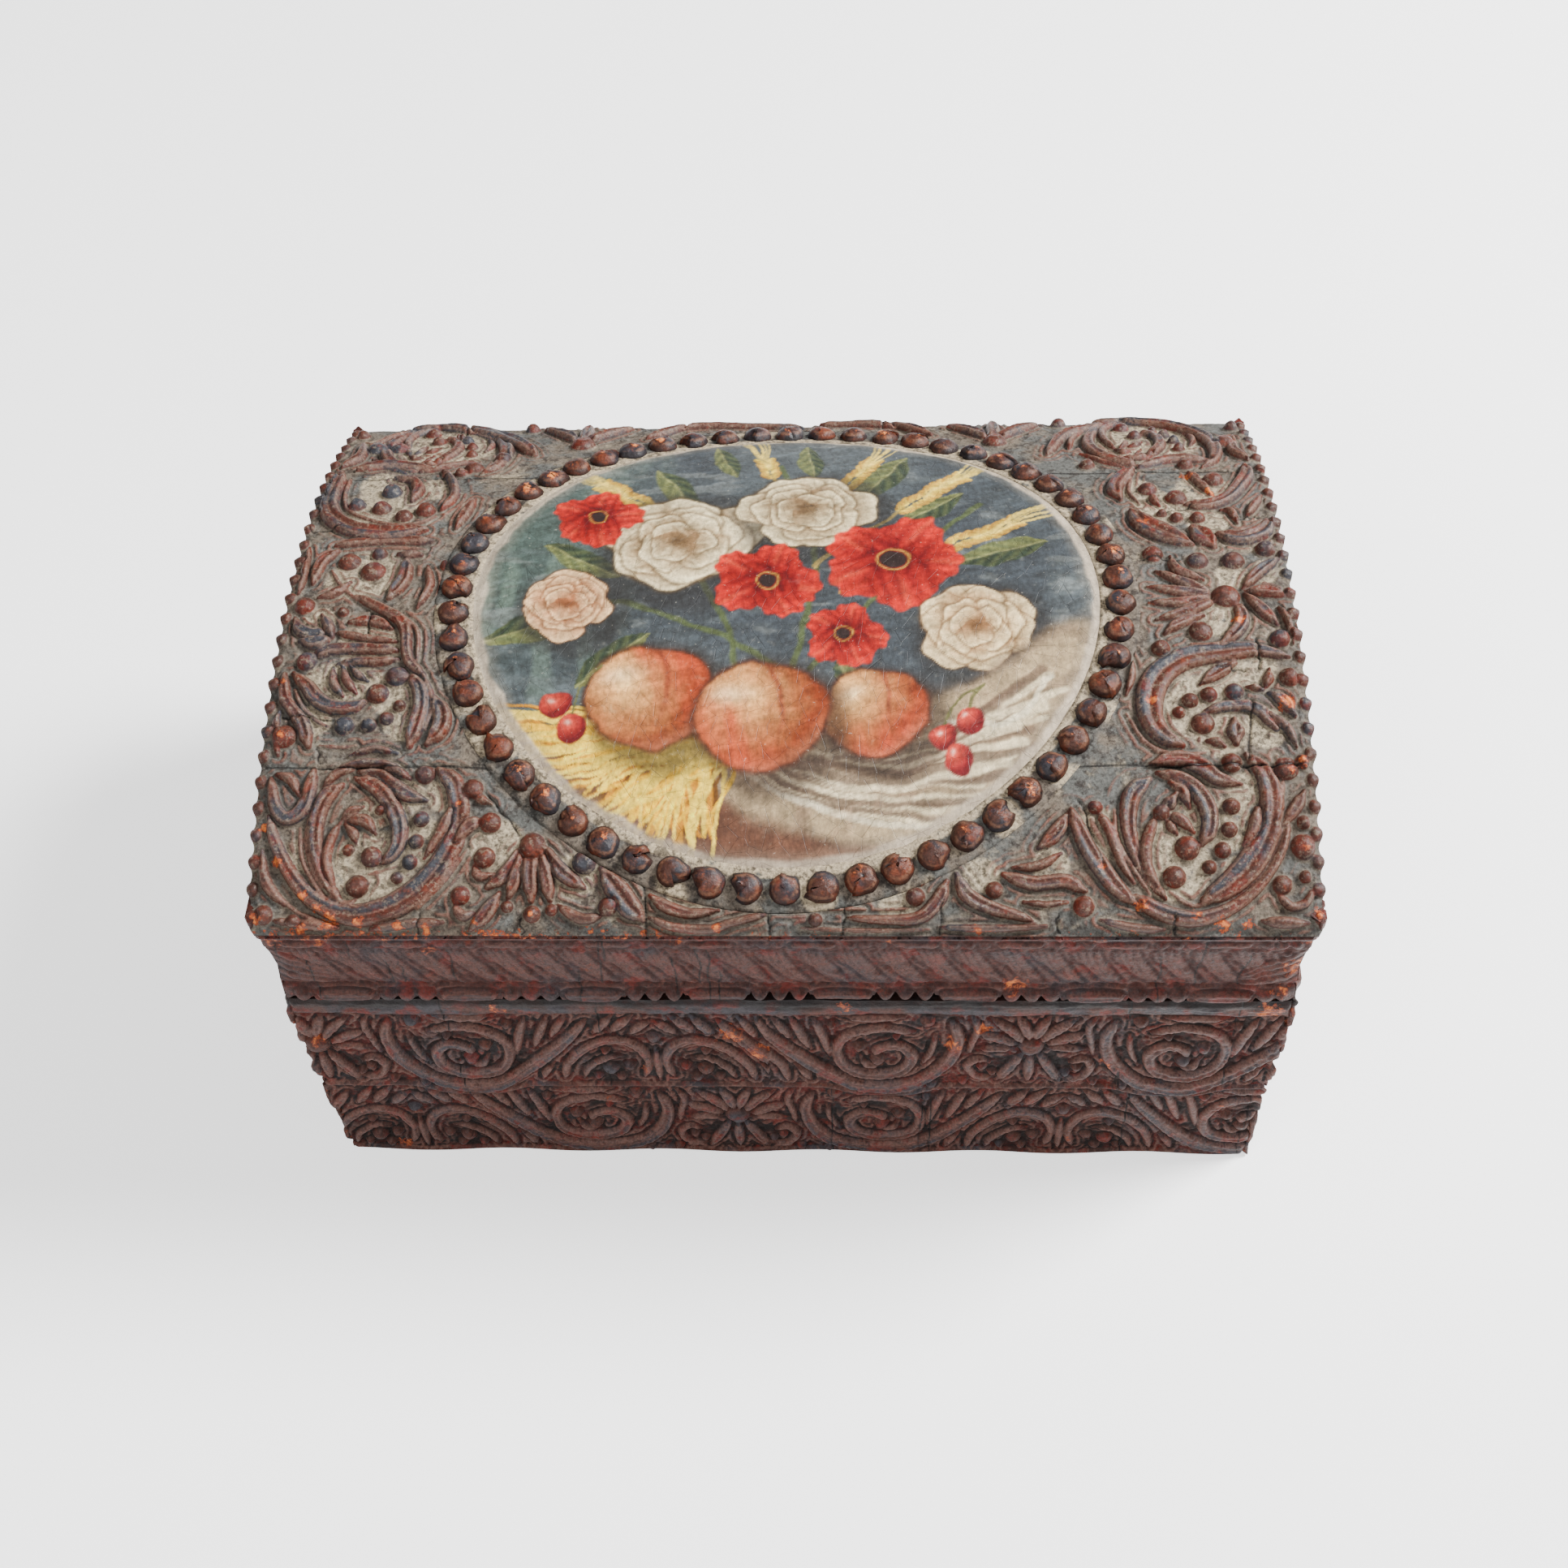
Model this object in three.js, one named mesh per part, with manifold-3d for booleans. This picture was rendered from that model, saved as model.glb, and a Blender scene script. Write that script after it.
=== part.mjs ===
// A domed wooden casket, faced with strips of moulded composition ornament and
// with a painted oval panel set in the lid inside a ring of beads.
// Millimetres, +Z up. The origin is the middle of the underside, and the front faces -Y.
import * as THREE from 'three';
import { mergeVertices } from 'three/addons/utils/BufferGeometryUtils.js';
import Module from 'manifold-3d';

const wasm = await Module();
wasm.setup();

// Driving sizes of the lid and the case, outside the ornament
const lidWidth = 204;
const lidDepth = 140;
const caseHeight = 65.8;
const lidRimHeight = 27.6;
const vaultRise = 18.7;
const lidOverhang = 0.2;
const splitGap = 0.4;

// Boards
const wallThickness = 7;
const baseThickness = 5;
const topPanelThickness = 5;

// Gaps: the glue under applied pieces, and the joints between neighbours
const glueLine = 0.3;
const joint = 0.3;

// Friezes round the case
const upperFriezeThickness = 3.7;
const upperFriezeGround = 1.5;
const lowerFriezeThickness = 3.3;
const lowerFriezeGround = 1.3;
const lowerFriezeHeight = 30.2;
const drawnHeight = 30.2;
const floorClearance = 0.4;
const topFilletHeight = 4.2;
const cellLength = 70.5;
const strokeLift = 0.7;
const strokeStep = 10.5;
const lobeDepth = 2;
const lobeHalfWidth = 19;
const footLobeDepth = 1.4;

// Moulding round the lid
const rimStripThickness = 3.7;
const rimCornice = 6;
const leafBandDepth = 1.5;
const leafPitch = 7.6;
const leafSlant = 4.4;
const leafWide = 3.2;
const leafProud = 1.3;
const reelHeight = 4.4;
const reelPitch = 12.4;
const reelNotch = 1;

// Ornament laid over the vault
const sheetThickness = 3;
const sheetGround = 0.9;
const sheetJointFromEdge = 29.6;
const lunetteSetBack = 1;
const lunetteThickness = 2.4;

// Painted oval panel and its bead ring, measured in plan
const ringToEnd = 31.2;
const ringToEdge = 4.6;
const ovalShift = -1;
const ringWidth = 7.6;
const ringThickness = 1.4;
const beadCount = 58;
const beadRadius = 3;
const beadRise = 2.6;
const beadFoot = 0.4;
const beadFacets = 5;
const paintedPanelThickness = 1.6;

// Hinges
const hingeFromEnd = 40;
const hingeLength = 22;
const axisInset = 3.5;
const openLimit = 100;
const bevelSpare = 1.5;
const barrelRadius = 2.2;
const barrelClearance = 0.4;
const leafThickness = 1.2;
const leafWidth = 7;
const leafGap = 0.3;
const knuckleGap = 0.3;
const middleKnuckle = 7.4;
const pinRadius = 0.8;
const pinClearance = 0.2;
const pinHeadRadius = 1.5;
const pinHeadThickness = 0.6;
const screwSpacing = 13;
const screwSetBack = 4.2;
const screwHeadRadius = 1.5;
const screwShankRadius = 0.8;
const screwLength = 6;
const screwClearance = 0.25;
const screwFacets = 6;

// Sizes that follow from those above
const caseWidth = lidWidth - 2 * lidOverhang;
const caseDepth = lidDepth - 2 * lidOverhang;
const boardSetBack = upperFriezeThickness + glueLine;
const wallOut = { x: caseWidth / 2 - boardSetBack, y: caseDepth / 2 - boardSetBack };
const wallIn = { x: wallOut.x - wallThickness, y: wallOut.y - wallThickness };
const railSetBack = rimStripThickness + glueLine;
const lidOut = { x: lidWidth / 2 - railSetBack, y: lidDepth / 2 - railSetBack };
const lidIn = { x: lidOut.x - wallThickness, y: lidOut.y - wallThickness };
const lidBottom = caseHeight + splitGap;
const springLine = lidBottom + lidRimHeight;
const vaultRadius = (lidDepth ** 2 / 4 + vaultRise ** 2) / (2 * vaultRise);
const vaultCentreZ = springLine + vaultRise - vaultRadius;
const sheetUnderside = vaultRadius - sheetThickness;
const panelOuterRadius = sheetUnderside - glueLine;
const panelInnerRadius = panelOuterRadius - topPanelThickness;
const hingeAxis = { y: lidDepth / 2 - axisInset, z: caseHeight + splitGap / 2 };
const bevelAngle = THREE.MathUtils.degToRad(openLimit / 2 + bevelSpare);
const screwLine = hingeAxis.y - screwSetBack;
const hingeOffset = lidWidth / 2 - hingeFromEnd;
const hingePlaces = [-hingeOffset, hingeOffset];
const screwPlaces = hingePlaces.flatMap((x) => [x - screwSpacing / 2, x + screwSpacing / 2]);
const ovalHalfWidth = lidWidth / 2 - ringToEnd - ringWidth;
const ovalHalfDepth = lidDepth / 2 - ringToEdge - ringWidth;
const farAway = 400;
const vaultSteps = 8;
const ovalSteps = 20;

// Materials
const bareWood = new THREE.MeshStandardMaterial({ color: 0x8a5c3a, roughness: 0.75, metalness: 0 });
const caseOrnament = new THREE.MeshStandardMaterial({ color: 0x4a2c22, roughness: 0.5, metalness: 0 });
const lidOrnament = new THREE.MeshStandardMaterial({ color: 0x6f5a4c, roughness: 0.55, metalness: 0 });
const beadFinish = new THREE.MeshStandardMaterial({ color: 0x6b3420, roughness: 0.4, metalness: 0 });
const paintedWood = new THREE.MeshStandardMaterial({ color: 0x46525a, roughness: 0.45, metalness: 0 });
const brass = new THREE.MeshStandardMaterial({ color: 0x9a7b3c, roughness: 0.4, metalness: 1 });

// Shapes come from three.js and are joined or cut by manifold-3d
function manifoldOf(geometry) {
  return new wasm.Manifold(new wasm.Mesh({
    numProp: 3,
    vertProperties: geometry.attributes.position.array,
    triVerts: new Uint32Array(geometry.index.array),
  }));
}

function solid(geometry) {
  const bare = geometry.index ? geometry.toNonIndexed() : geometry.clone();
  for (const name of ['normal', 'uv']) bare.deleteAttribute(name);
  return manifoldOf(mergeVertices(bare, 1e-4));
}

function geometryOf(shape) {
  const mesh = shape.getMesh();
  const geometry = new THREE.BufferGeometry();
  geometry.setAttribute('position', new THREE.BufferAttribute(mesh.vertProperties, 3));
  geometry.setIndex(new THREE.BufferAttribute(mesh.triVerts, 1));
  return geometry;
}

function cut(shape, ...tools) {
  return tools.reduce((left, tool) => left.subtract(tool), shape);
}

function join(...shapes) {
  return shapes.reduce((whole, other) => whole.add(other));
}

function turned(shape, angle) {
  return manifoldOf(geometryOf(shape).rotateZ(angle));
}

function block([x0, x1], [y0, y1], [z0, z1]) {
  const geometry = new THREE.BoxGeometry(x1 - x0, y1 - y0, z1 - z0);
  return solid(geometry.translate((x0 + x1) / 2, (y0 + y1) / 2, (z0 + z1) / 2));
}

// A shape drawn in the YZ plane, extruded along X
function alongX(shape, x0, x1) {
  const settings = { depth: x1 - x0, bevelEnabled: false, curveSegments: vaultSteps };
  const geometry = new THREE.ExtrudeGeometry(shape, settings);
  const turn = new THREE.Matrix4().makeBasis(
    new THREE.Vector3(0, 1, 0), new THREE.Vector3(0, 0, 1), new THREE.Vector3(1, 0, 0));
  return solid(geometry.applyMatrix4(turn).translate(x0, 0, 0));
}

// A shape drawn in plan, extruded upwards
function upright(shape, z0, z1) {
  const settings = { depth: z1 - z0, bevelEnabled: false, curveSegments: ovalSteps };
  return solid(new THREE.ExtrudeGeometry(shape, settings).translate(0, 0, z0));
}

// A shape drawn on the front face, X along it and Y up it, from one distance to another before the middle
function standing(shape, from, to) {
  const geometry = new THREE.ExtrudeGeometry(shape, { depth: to - from, bevelEnabled: false });
  return solid(geometry.translate(0, 0, from).rotateX(Math.PI / 2));
}

function rod(radius, x0, x1, y, z, facets = 10) {
  const geometry = new THREE.CylinderGeometry(radius, radius, x1 - x0, facets);
  return solid(geometry.rotateZ(Math.PI / 2).translate((x0 + x1) / 2, y, z));
}

function outline(points) {
  return new THREE.Shape(points.map(([x, y]) => new THREE.Vector2(x, y)));
}

function ellipse(halfWidth, halfDepth) {
  const shape = new THREE.Shape();
  shape.absellipse(0, ovalShift, halfWidth, halfDepth, 0, 2 * Math.PI);
  return shape;
}

// The curved slab between two radii of the vault, as wide in front and behind as the half chord
function vaultSlab(innerRadius, outerRadius, halfChord, [x0, x1]) {
  const outer = Math.asin(halfChord / outerRadius);
  const inner = Math.asin(halfChord / innerRadius);
  const shape = new THREE.Shape();
  shape.absarc(0, vaultCentreZ, outerRadius, Math.PI / 2 + outer, Math.PI / 2 - outer, true);
  shape.absarc(0, vaultCentreZ, innerRadius, Math.PI / 2 - inner, Math.PI / 2 + inner, false);
  return alongX(shape, x0, x1);
}

// All that lies under a radius of the vault
function underVault(radius) {
  const half = lidDepth / 2 + topPanelThickness;
  const reach = Math.asin(half / radius);
  const shape = new THREE.Shape();
  shape.absarc(0, vaultCentreZ, radius, Math.PI / 2 - reach, Math.PI / 2 + reach, false);
  shape.lineTo(-half, 0);
  shape.lineTo(half, 0);
  return alongX(shape, -lidWidth, lidWidth);
}

// The bevels behind the hinge axis, which meet when the lid is fully open
function bevelCutter(upOrDown) {
  const rise = upOrDown * farAway * Math.sin(bevelAngle);
  const run = farAway * Math.cos(bevelAngle);
  const corners = [[0, 0], [run, rise], [run, -rise], [0, -rise]];
  const points = corners.map(([y, z]) => [hingeAxis.y + y, hingeAxis.z + z]);
  return alongX(outline(upOrDown > 0 ? points.reverse() : points), -lidWidth, lidWidth);
}

function barrelPocket(x) {
  const reach = hingeLength / 2 + pinHeadThickness + barrelClearance;
  return rod(barrelRadius + barrelClearance, x - reach, x + reach, hingeAxis.y, hingeAxis.z);
}

function leafPocket(x) {
  const half = hingeLength / 2 + glueLine;
  const depth = leafGap / 2 + leafThickness + glueLine;
  return block([x - half, x + half], [hingeAxis.y - leafWidth - glueLine, hingeAxis.y],
    [hingeAxis.z - depth, hingeAxis.z + depth]);
}

function screwHole(x) {
  const radius = screwShankRadius + screwClearance;
  const depth = 2 * (screwLength + screwClearance + leafGap);
  const geometry = new THREE.CylinderGeometry(radius, radius, depth, screwFacets);
  return solid(geometry.rotateX(Math.PI / 2).translate(x, screwLine, hingeAxis.z));
}

const hingePockets = hingePlaces.flatMap((x) => [leafPocket(x), barrelPocket(x)]);
const screwHoles = screwPlaces.map((x) => screwHole(x));

const root = new THREE.Group();
root.name = 'casket';

function addPart(name, shape, material) {
  const geometry = geometryOf(shape);
  geometry.computeVertexNormals();
  const mesh = new THREE.Mesh(geometry, material);
  mesh.name = name;
  root.add(mesh);
}

// Case: a base board between four walls, with the end walls between the front and the back
const wallX = [-wallOut.x, wallOut.x];
const sideY = [-wallIn.y + joint, wallIn.y - joint];
const insideX = [-wallIn.x + joint, wallIn.x - joint];
addPart('base_board', block(insideX, sideY, [0, baseThickness]), bareWood);
addPart('case_front_wall', block(wallX, [-wallOut.y, -wallIn.y], [0, caseHeight]), bareWood);
const caseBack = block(wallX, [wallIn.y, wallOut.y], [0, caseHeight]);
addPart('case_back_wall', cut(caseBack, ...hingePockets, ...screwHoles), bareWood);
addPart('case_left_wall', block([-wallOut.x, -wallIn.x], sideY, [0, caseHeight]), bareWood);
addPart('case_right_wall', block([wallIn.x, wallOut.x], sideY, [0, caseHeight]), bareWood);

// Lid: rails in front and behind, arched end boards between them, and the bent top panel over all
const underPanel = underVault(panelInnerRadius - glueLine);
const lidBoards = [lidBottom, springLine + vaultRise];
const railX = [-lidOut.x, lidOut.x];
const endY = [-lidIn.y + joint, lidIn.y - joint];
addPart('lid_front_rail', block(railX, [-lidOut.y, -lidIn.y], lidBoards).intersect(underPanel), bareWood);
addPart('lid_back_rail', cut(block(railX, [lidIn.y, lidOut.y], lidBoards).intersect(underPanel),
  ...hingePockets, ...screwHoles), bareWood);
addPart('lid_left_end', block([-lidOut.x, -lidIn.x], endY, lidBoards).intersect(underPanel), bareWood);
addPart('lid_right_end', block([lidIn.x, lidOut.x], endY, lidBoards).intersect(underPanel), bareWood);
addPart('lid_top_panel', vaultSlab(panelInnerRadius, panelOuterRadius, lidOut.y, railX), bareWood);

// A ridged stroke of ornament: a smooth line through points of [across, along, width] in the plane of the
// ornament, wide at its foot and sharp on top. The place function takes such a point and a height into space.
function stroke(points, place, { foot, ground, top }) {
  const line = new THREE.CatmullRomCurve3(points.map((point) => new THREE.Vector3(...point)));
  const steps = Math.max(1, Math.round(line.getLength() / strokeStep));
  const corners = [];
  for (let i = 0; i <= steps; i++) {
    const { x, y, z: width } = line.getPointAt(i / steps);
    const along = line.getTangentAt(i / steps);
    const aside = new THREE.Vector2(-along.y, along.x).setLength(width / 2 + strokeLift);
    const rise = (top - ground) * Math.min(1, 0.45 + 0.22 * width);
    corners.push(place(x + aside.x, y + aside.y, foot));
    corners.push(place(x, y, ground + rise));
    corners.push(place(x - aside.x, y - aside.y, foot));
  }
  const faces = [2, 1, 0, 3 * steps, 3 * steps + 1, 3 * steps + 2];
  for (let i = 0; i < 3 * steps; i++) {
    const next = i % 3 === 2 ? i - 2 : i + 1;
    faces.push(i, next, i + 3, next, next + 3, i + 3);
  }
  const geometry = new THREE.BufferGeometry().setFromPoints(corners);
  geometry.setIndex(faces);
  return solid(geometry);
}

// A round bead on the ground, with a short foot in it
function bead(across, along, radius, place, { ground, top }) {
  const at = place(across, along, ground);
  const out = place(across, along, ground + 1).sub(at).normalize();
  const rise = Math.min(radius, top - ground);
  const profile = [[0, -beadFoot], [radius, -beadFoot], [radius * 0.8, rise * 0.65], [0, rise]];
  const corners = profile.map(([away, up]) => new THREE.Vector2(away, up));
  const geometry = new THREE.LatheGeometry(corners, beadFacets);
  geometry.applyQuaternion(new THREE.Quaternion().setFromUnitVectors(new THREE.Vector3(0, 1, 0), out));
  return solid(geometry.translate(at.x, at.y, at.z));
}

function ornament({ lines, beads }, place, levels) {
  return [
    ...lines.map((points) => stroke(points, place, levels)),
    ...beads.map(([across, along, radius]) => bead(across, along, radius, place, levels)),
  ];
}

// Petals that open from one point, each as wide at its tip as given
function petals([x, y], tips, width) {
  return tips.map(([tipX, tipY]) => [[x, y, width / 2], [tipX, tipY, width]]);
}

// The same ornament moved, and turned over about either direction
function moved({ lines, beads }, [x, y], [flipX, flipY] = [1, 1]) {
  const shift = ([a, b, size]) => [x + flipX * a, y + flipY * b, size];
  return { lines: lines.map((points) => points.map(shift)), beads: beads.map(shift) };
}

function together(...ornaments) {
  return { lines: ornaments.flatMap(({ lines }) => lines), beads: ornaments.flatMap(({ beads }) => beads) };
}

// The four sides of the casket, by the turn that takes the front to them
const sides = [
  { name: 'front', turn: 0, width: 'x', away: 'y' },
  { name: 'right', turn: Math.PI / 2, width: 'y', away: 'x' },
  { name: 'back', turn: Math.PI, width: 'x', away: 'y' },
  { name: 'left', turn: -Math.PI / 2, width: 'y', away: 'x' },
];

// Both ends mitred, so that four strips meet at the corners of a box of these half sizes
function mitred(strip, half, side) {
  const offset = (half[side.away] - half[side.width]) / Math.SQRT2 + joint / 2;
  return strip.trimByPlane([1, -1, 0], offset).trimByPlane([-1, -1, 0], offset);
}

// Places at even steps on both sides of the middle, as many as fit in a half length
function spaced(half, pitch) {
  const count = Math.floor(half / pitch);
  return Array.from({ length: 2 * count + 1 }, (_, i) => (i - count) * pitch);
}

// The wavy lower edge of a strip, with a shallow rounded lobe under each given place
function lobedEdge(from, to, bottom, places, halfWidth, depth) {
  const points = [];
  for (let x = from; x <= to; x += halfWidth / 2) {
    const near = Math.min(...places.map((place) => Math.abs(x - place))) / halfWidth;
    points.push([x, bottom + (near < 1 ? depth * (1 - Math.cos(Math.PI * near)) / 2 : depth)]);
  }
  points.push([to, bottom + depth]);
  return points;
}

const halfCase = { x: caseWidth / 2, y: caseDepth / 2 };
const halfLid = { x: lidWidth / 2, y: lidDepth / 2 };
const lowerStep = upperFriezeThickness - lowerFriezeThickness;
const halfLower = { x: halfCase.x - lowerStep, y: halfCase.y - lowerStep };
const caseCut = join(bevelCutter(-1), ...hingePlaces.map((x) => barrelPocket(x)));
const lidCut = join(bevelCutter(1), ...hingePlaces.map((x) => barrelPocket(x)));

// The moulded running ornament of both friezes. One cell reaches from the knot, at 0, to the arch
// that closes it, and its mirror image follows on either side. Heights are from the lower edge.
const cell = {
  lines: [
    [[16.5, 26.2, 2], [15, 17, 3.6], [22, 5.6, 4], [36, 3.1, 4], [47, 11, 3.8], [56.5, 26.2, 1.6]],
    [[24, 23, 2], [37, 22, 3], [37.5, 9, 3], [25, 9.4, 3], [25.5, 17, 2.6]],
    [[50.5, 3.2, 1.8], [53.5, 14, 2.4], [64, 19.2, 2.4], [69, 8, 1.8]],
    [[46.5, 27.3, 2.8], [43, 13, 1.4]],
    [[1.8, 18.5, 1.6], [8.5, 26.2, 3.2]],
    [[1.6, 13.5, 1.6], [5.6, 3.9, 3.2]],
  ],
  beads: [[60.5, 8.5, 2.6]],
};
const knot = {
  lines: [[[0, 18.5, 1.6], [0, 27.3, 3.2]]],
  beads: [[0, 16.5, 2.4]],
};

// The running ornament between two places, with one of its knots at a third
function running(from, to, knotAt) {
  const inside = (across) => across > from && across < to;
  const period = 2 * cellLength;
  const first = knotAt - period * Math.ceil((knotAt - from + cellLength) / period);
  const found = [];
  for (let x = first; x < to + cellLength; x += period) {
    if (inside(x)) found.push(moved(knot, [x, 0]));
    for (const hand of [1, -1]) {
      const { lines, beads } = moved(cell, [x, 0], [hand, 1]);
      const middle = (points) => points.reduce((sum, [across]) => sum + across, 0) / points.length;
      found.push({
        lines: lines.filter((points) => inside(middle(points))),
        beads: beads.filter(([across]) => inside(across)),
      });
    }
  }
  return together(...found);
}

// Where the strips have their knots, and the splice in the upper strip of the front and the back
const knots = {
  front: { upper: [[-1, -98], [1, 50]], lower: -12 },
  right: { upper: [[0, -20]], lower: 0 },
  back: { upper: [[-1, -50], [1, 98]], lower: 12 },
  left: { upper: [[0, 20]], lower: 0 },
};
const spliceAt = -4;

function friezeStrip(side, half, bottomEdge, top, { thickness, ground, from }, design) {
  const face = half[side.away];
  const inner = face - thickness;
  const plate = standing(outline([...bottomEdge, [farAway, top], [-farAway, top]]), inner, inner + ground);
  const stretch = lowerFriezeHeight / drawnHeight;
  const place = (across, up, out) => new THREE.Vector3(across, -out, from + up * stretch);
  const raised = ornament(design, place, { foot: inner + ground / 2, ground: inner + ground, top: face });
  return join(plate, ...raised);
}

const upperBottom = lowerFriezeHeight + floorClearance + joint;
for (const side of sides) {
  const end = halfCase[side.width];
  const reach = halfCase[side.width] + 5;
  const { upper, lower } = knots[side.name];
  const upperRun = together(...upper.map(([which, at]) => {
    const span = which < 0 ? [-end, spliceAt] : which > 0 ? [spliceAt, end] : [-end, end];
    return running(...span, at);
  }));
  const lobes = spaced(reach, 2 * lobeHalfWidth);
  const upperEdge = lobedEdge(-reach, reach, upperBottom, lobes, lobeHalfWidth, lobeDepth);
  const upperSizes = { thickness: upperFriezeThickness, ground: upperFriezeGround, from: upperBottom };
  const upperStrip = friezeStrip(side, halfCase, upperEdge, caseHeight, upperSizes, upperRun);
  const face = halfCase[side.away];
  const fillet = block([-reach, reach], [-face, -face + upperFriezeThickness],
    [caseHeight - topFilletHeight, caseHeight]);
  const whole = turned(mitred(join(upperStrip, fillet), halfCase, side), side.turn);
  addPart(`upper_frieze_${side.name}`, side.name === 'front' ? whole : cut(whole, caseCut), caseOrnament);

  const feet = spaced(reach, cellLength / 2);
  const footEdge = lobedEdge(-reach, reach, floorClearance, feet, cellLength / 4, footLobeDepth);
  const lowerSizes = { thickness: lowerFriezeThickness, ground: lowerFriezeGround, from: floorClearance };
  const lowerStrip = friezeStrip(side, halfLower, footEdge, lowerFriezeHeight + floorClearance, lowerSizes,
    running(-end, end, lower));
  addPart(`lower_frieze_${side.name}`, turned(mitred(lowerStrip, halfLower, side), side.turn), caseOrnament);
}

// Moulding round the lid: a cornice above, a hollow band of slanting leaves, and a row of reels at the bottom
const underSheet = underVault(sheetUnderside - glueLine);
const bandBottom = lidBottom + reelHeight;
const bandTop = springLine - rimCornice;
for (const side of sides) {
  const face = halfLid[side.away];
  const inner = face - rimStripThickness;
  const reach = halfLid[side.width] + 5;
  const back = face - leafBandDepth;
  const profile = [[inner, lidBottom], [back, lidBottom], [face, lidBottom + reelHeight * 0.5],
    [back, bandBottom], [back, bandTop - rimCornice * 0.3], [face, bandTop], [face, springLine],
    [inner, springLine]];
  let strip = alongX(outline(profile.map(([away, z]) => [-away, z]).reverse()), -reach, reach);
  const place = (across, up, out) => new THREE.Vector3(across, -out, up);
  const levels = { foot: back - 0.6, ground: back, top: back + leafProud };
  const leafPlaces = spaced(halfLid[side.width] - rimStripThickness - leafSlant, leafPitch);
  const leaves = leafPlaces.map((x) => stroke([
    [x - leafSlant / 2, bandTop - rimCornice * 0.4, leafWide],
    [x + leafSlant, bandBottom + reelHeight * 0.2, leafWide / 3]], place, levels));
  strip = mitred(join(strip, ...leaves), halfLid, side);
  const notched = [lidBottom - 1, bandBottom - reelHeight * 0.2];
  const notches = spaced(halfLid[side.width] - rimStripThickness, reelPitch).map((x) => block(
    [x - reelNotch / 2, x + reelNotch / 2], [-face - 1, -back], notched));
  strip = turned(cut(strip, ...notches), side.turn).intersect(underSheet);
  addPart(`lid_rim_${side.name}`, side.name === 'front' ? strip : cut(strip, lidCut), caseOrnament);
}

// Arched panels over the lid's ends, between the rim moulding and the vault
for (const side of [sides[1], sides[3]]) {
  const outside = halfLid.x - lunetteSetBack;
  const x = side.turn > 0 ? [outside - lunetteThickness, outside] : [-outside, -outside + lunetteThickness];
  const panel = block(x, [-halfLid.y + joint, halfLid.y - joint], [springLine + joint, lidBoards[1]]);
  addPart(`lid_lunette_${side.name}`, panel.intersect(underSheet), caseOrnament);
}

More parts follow.
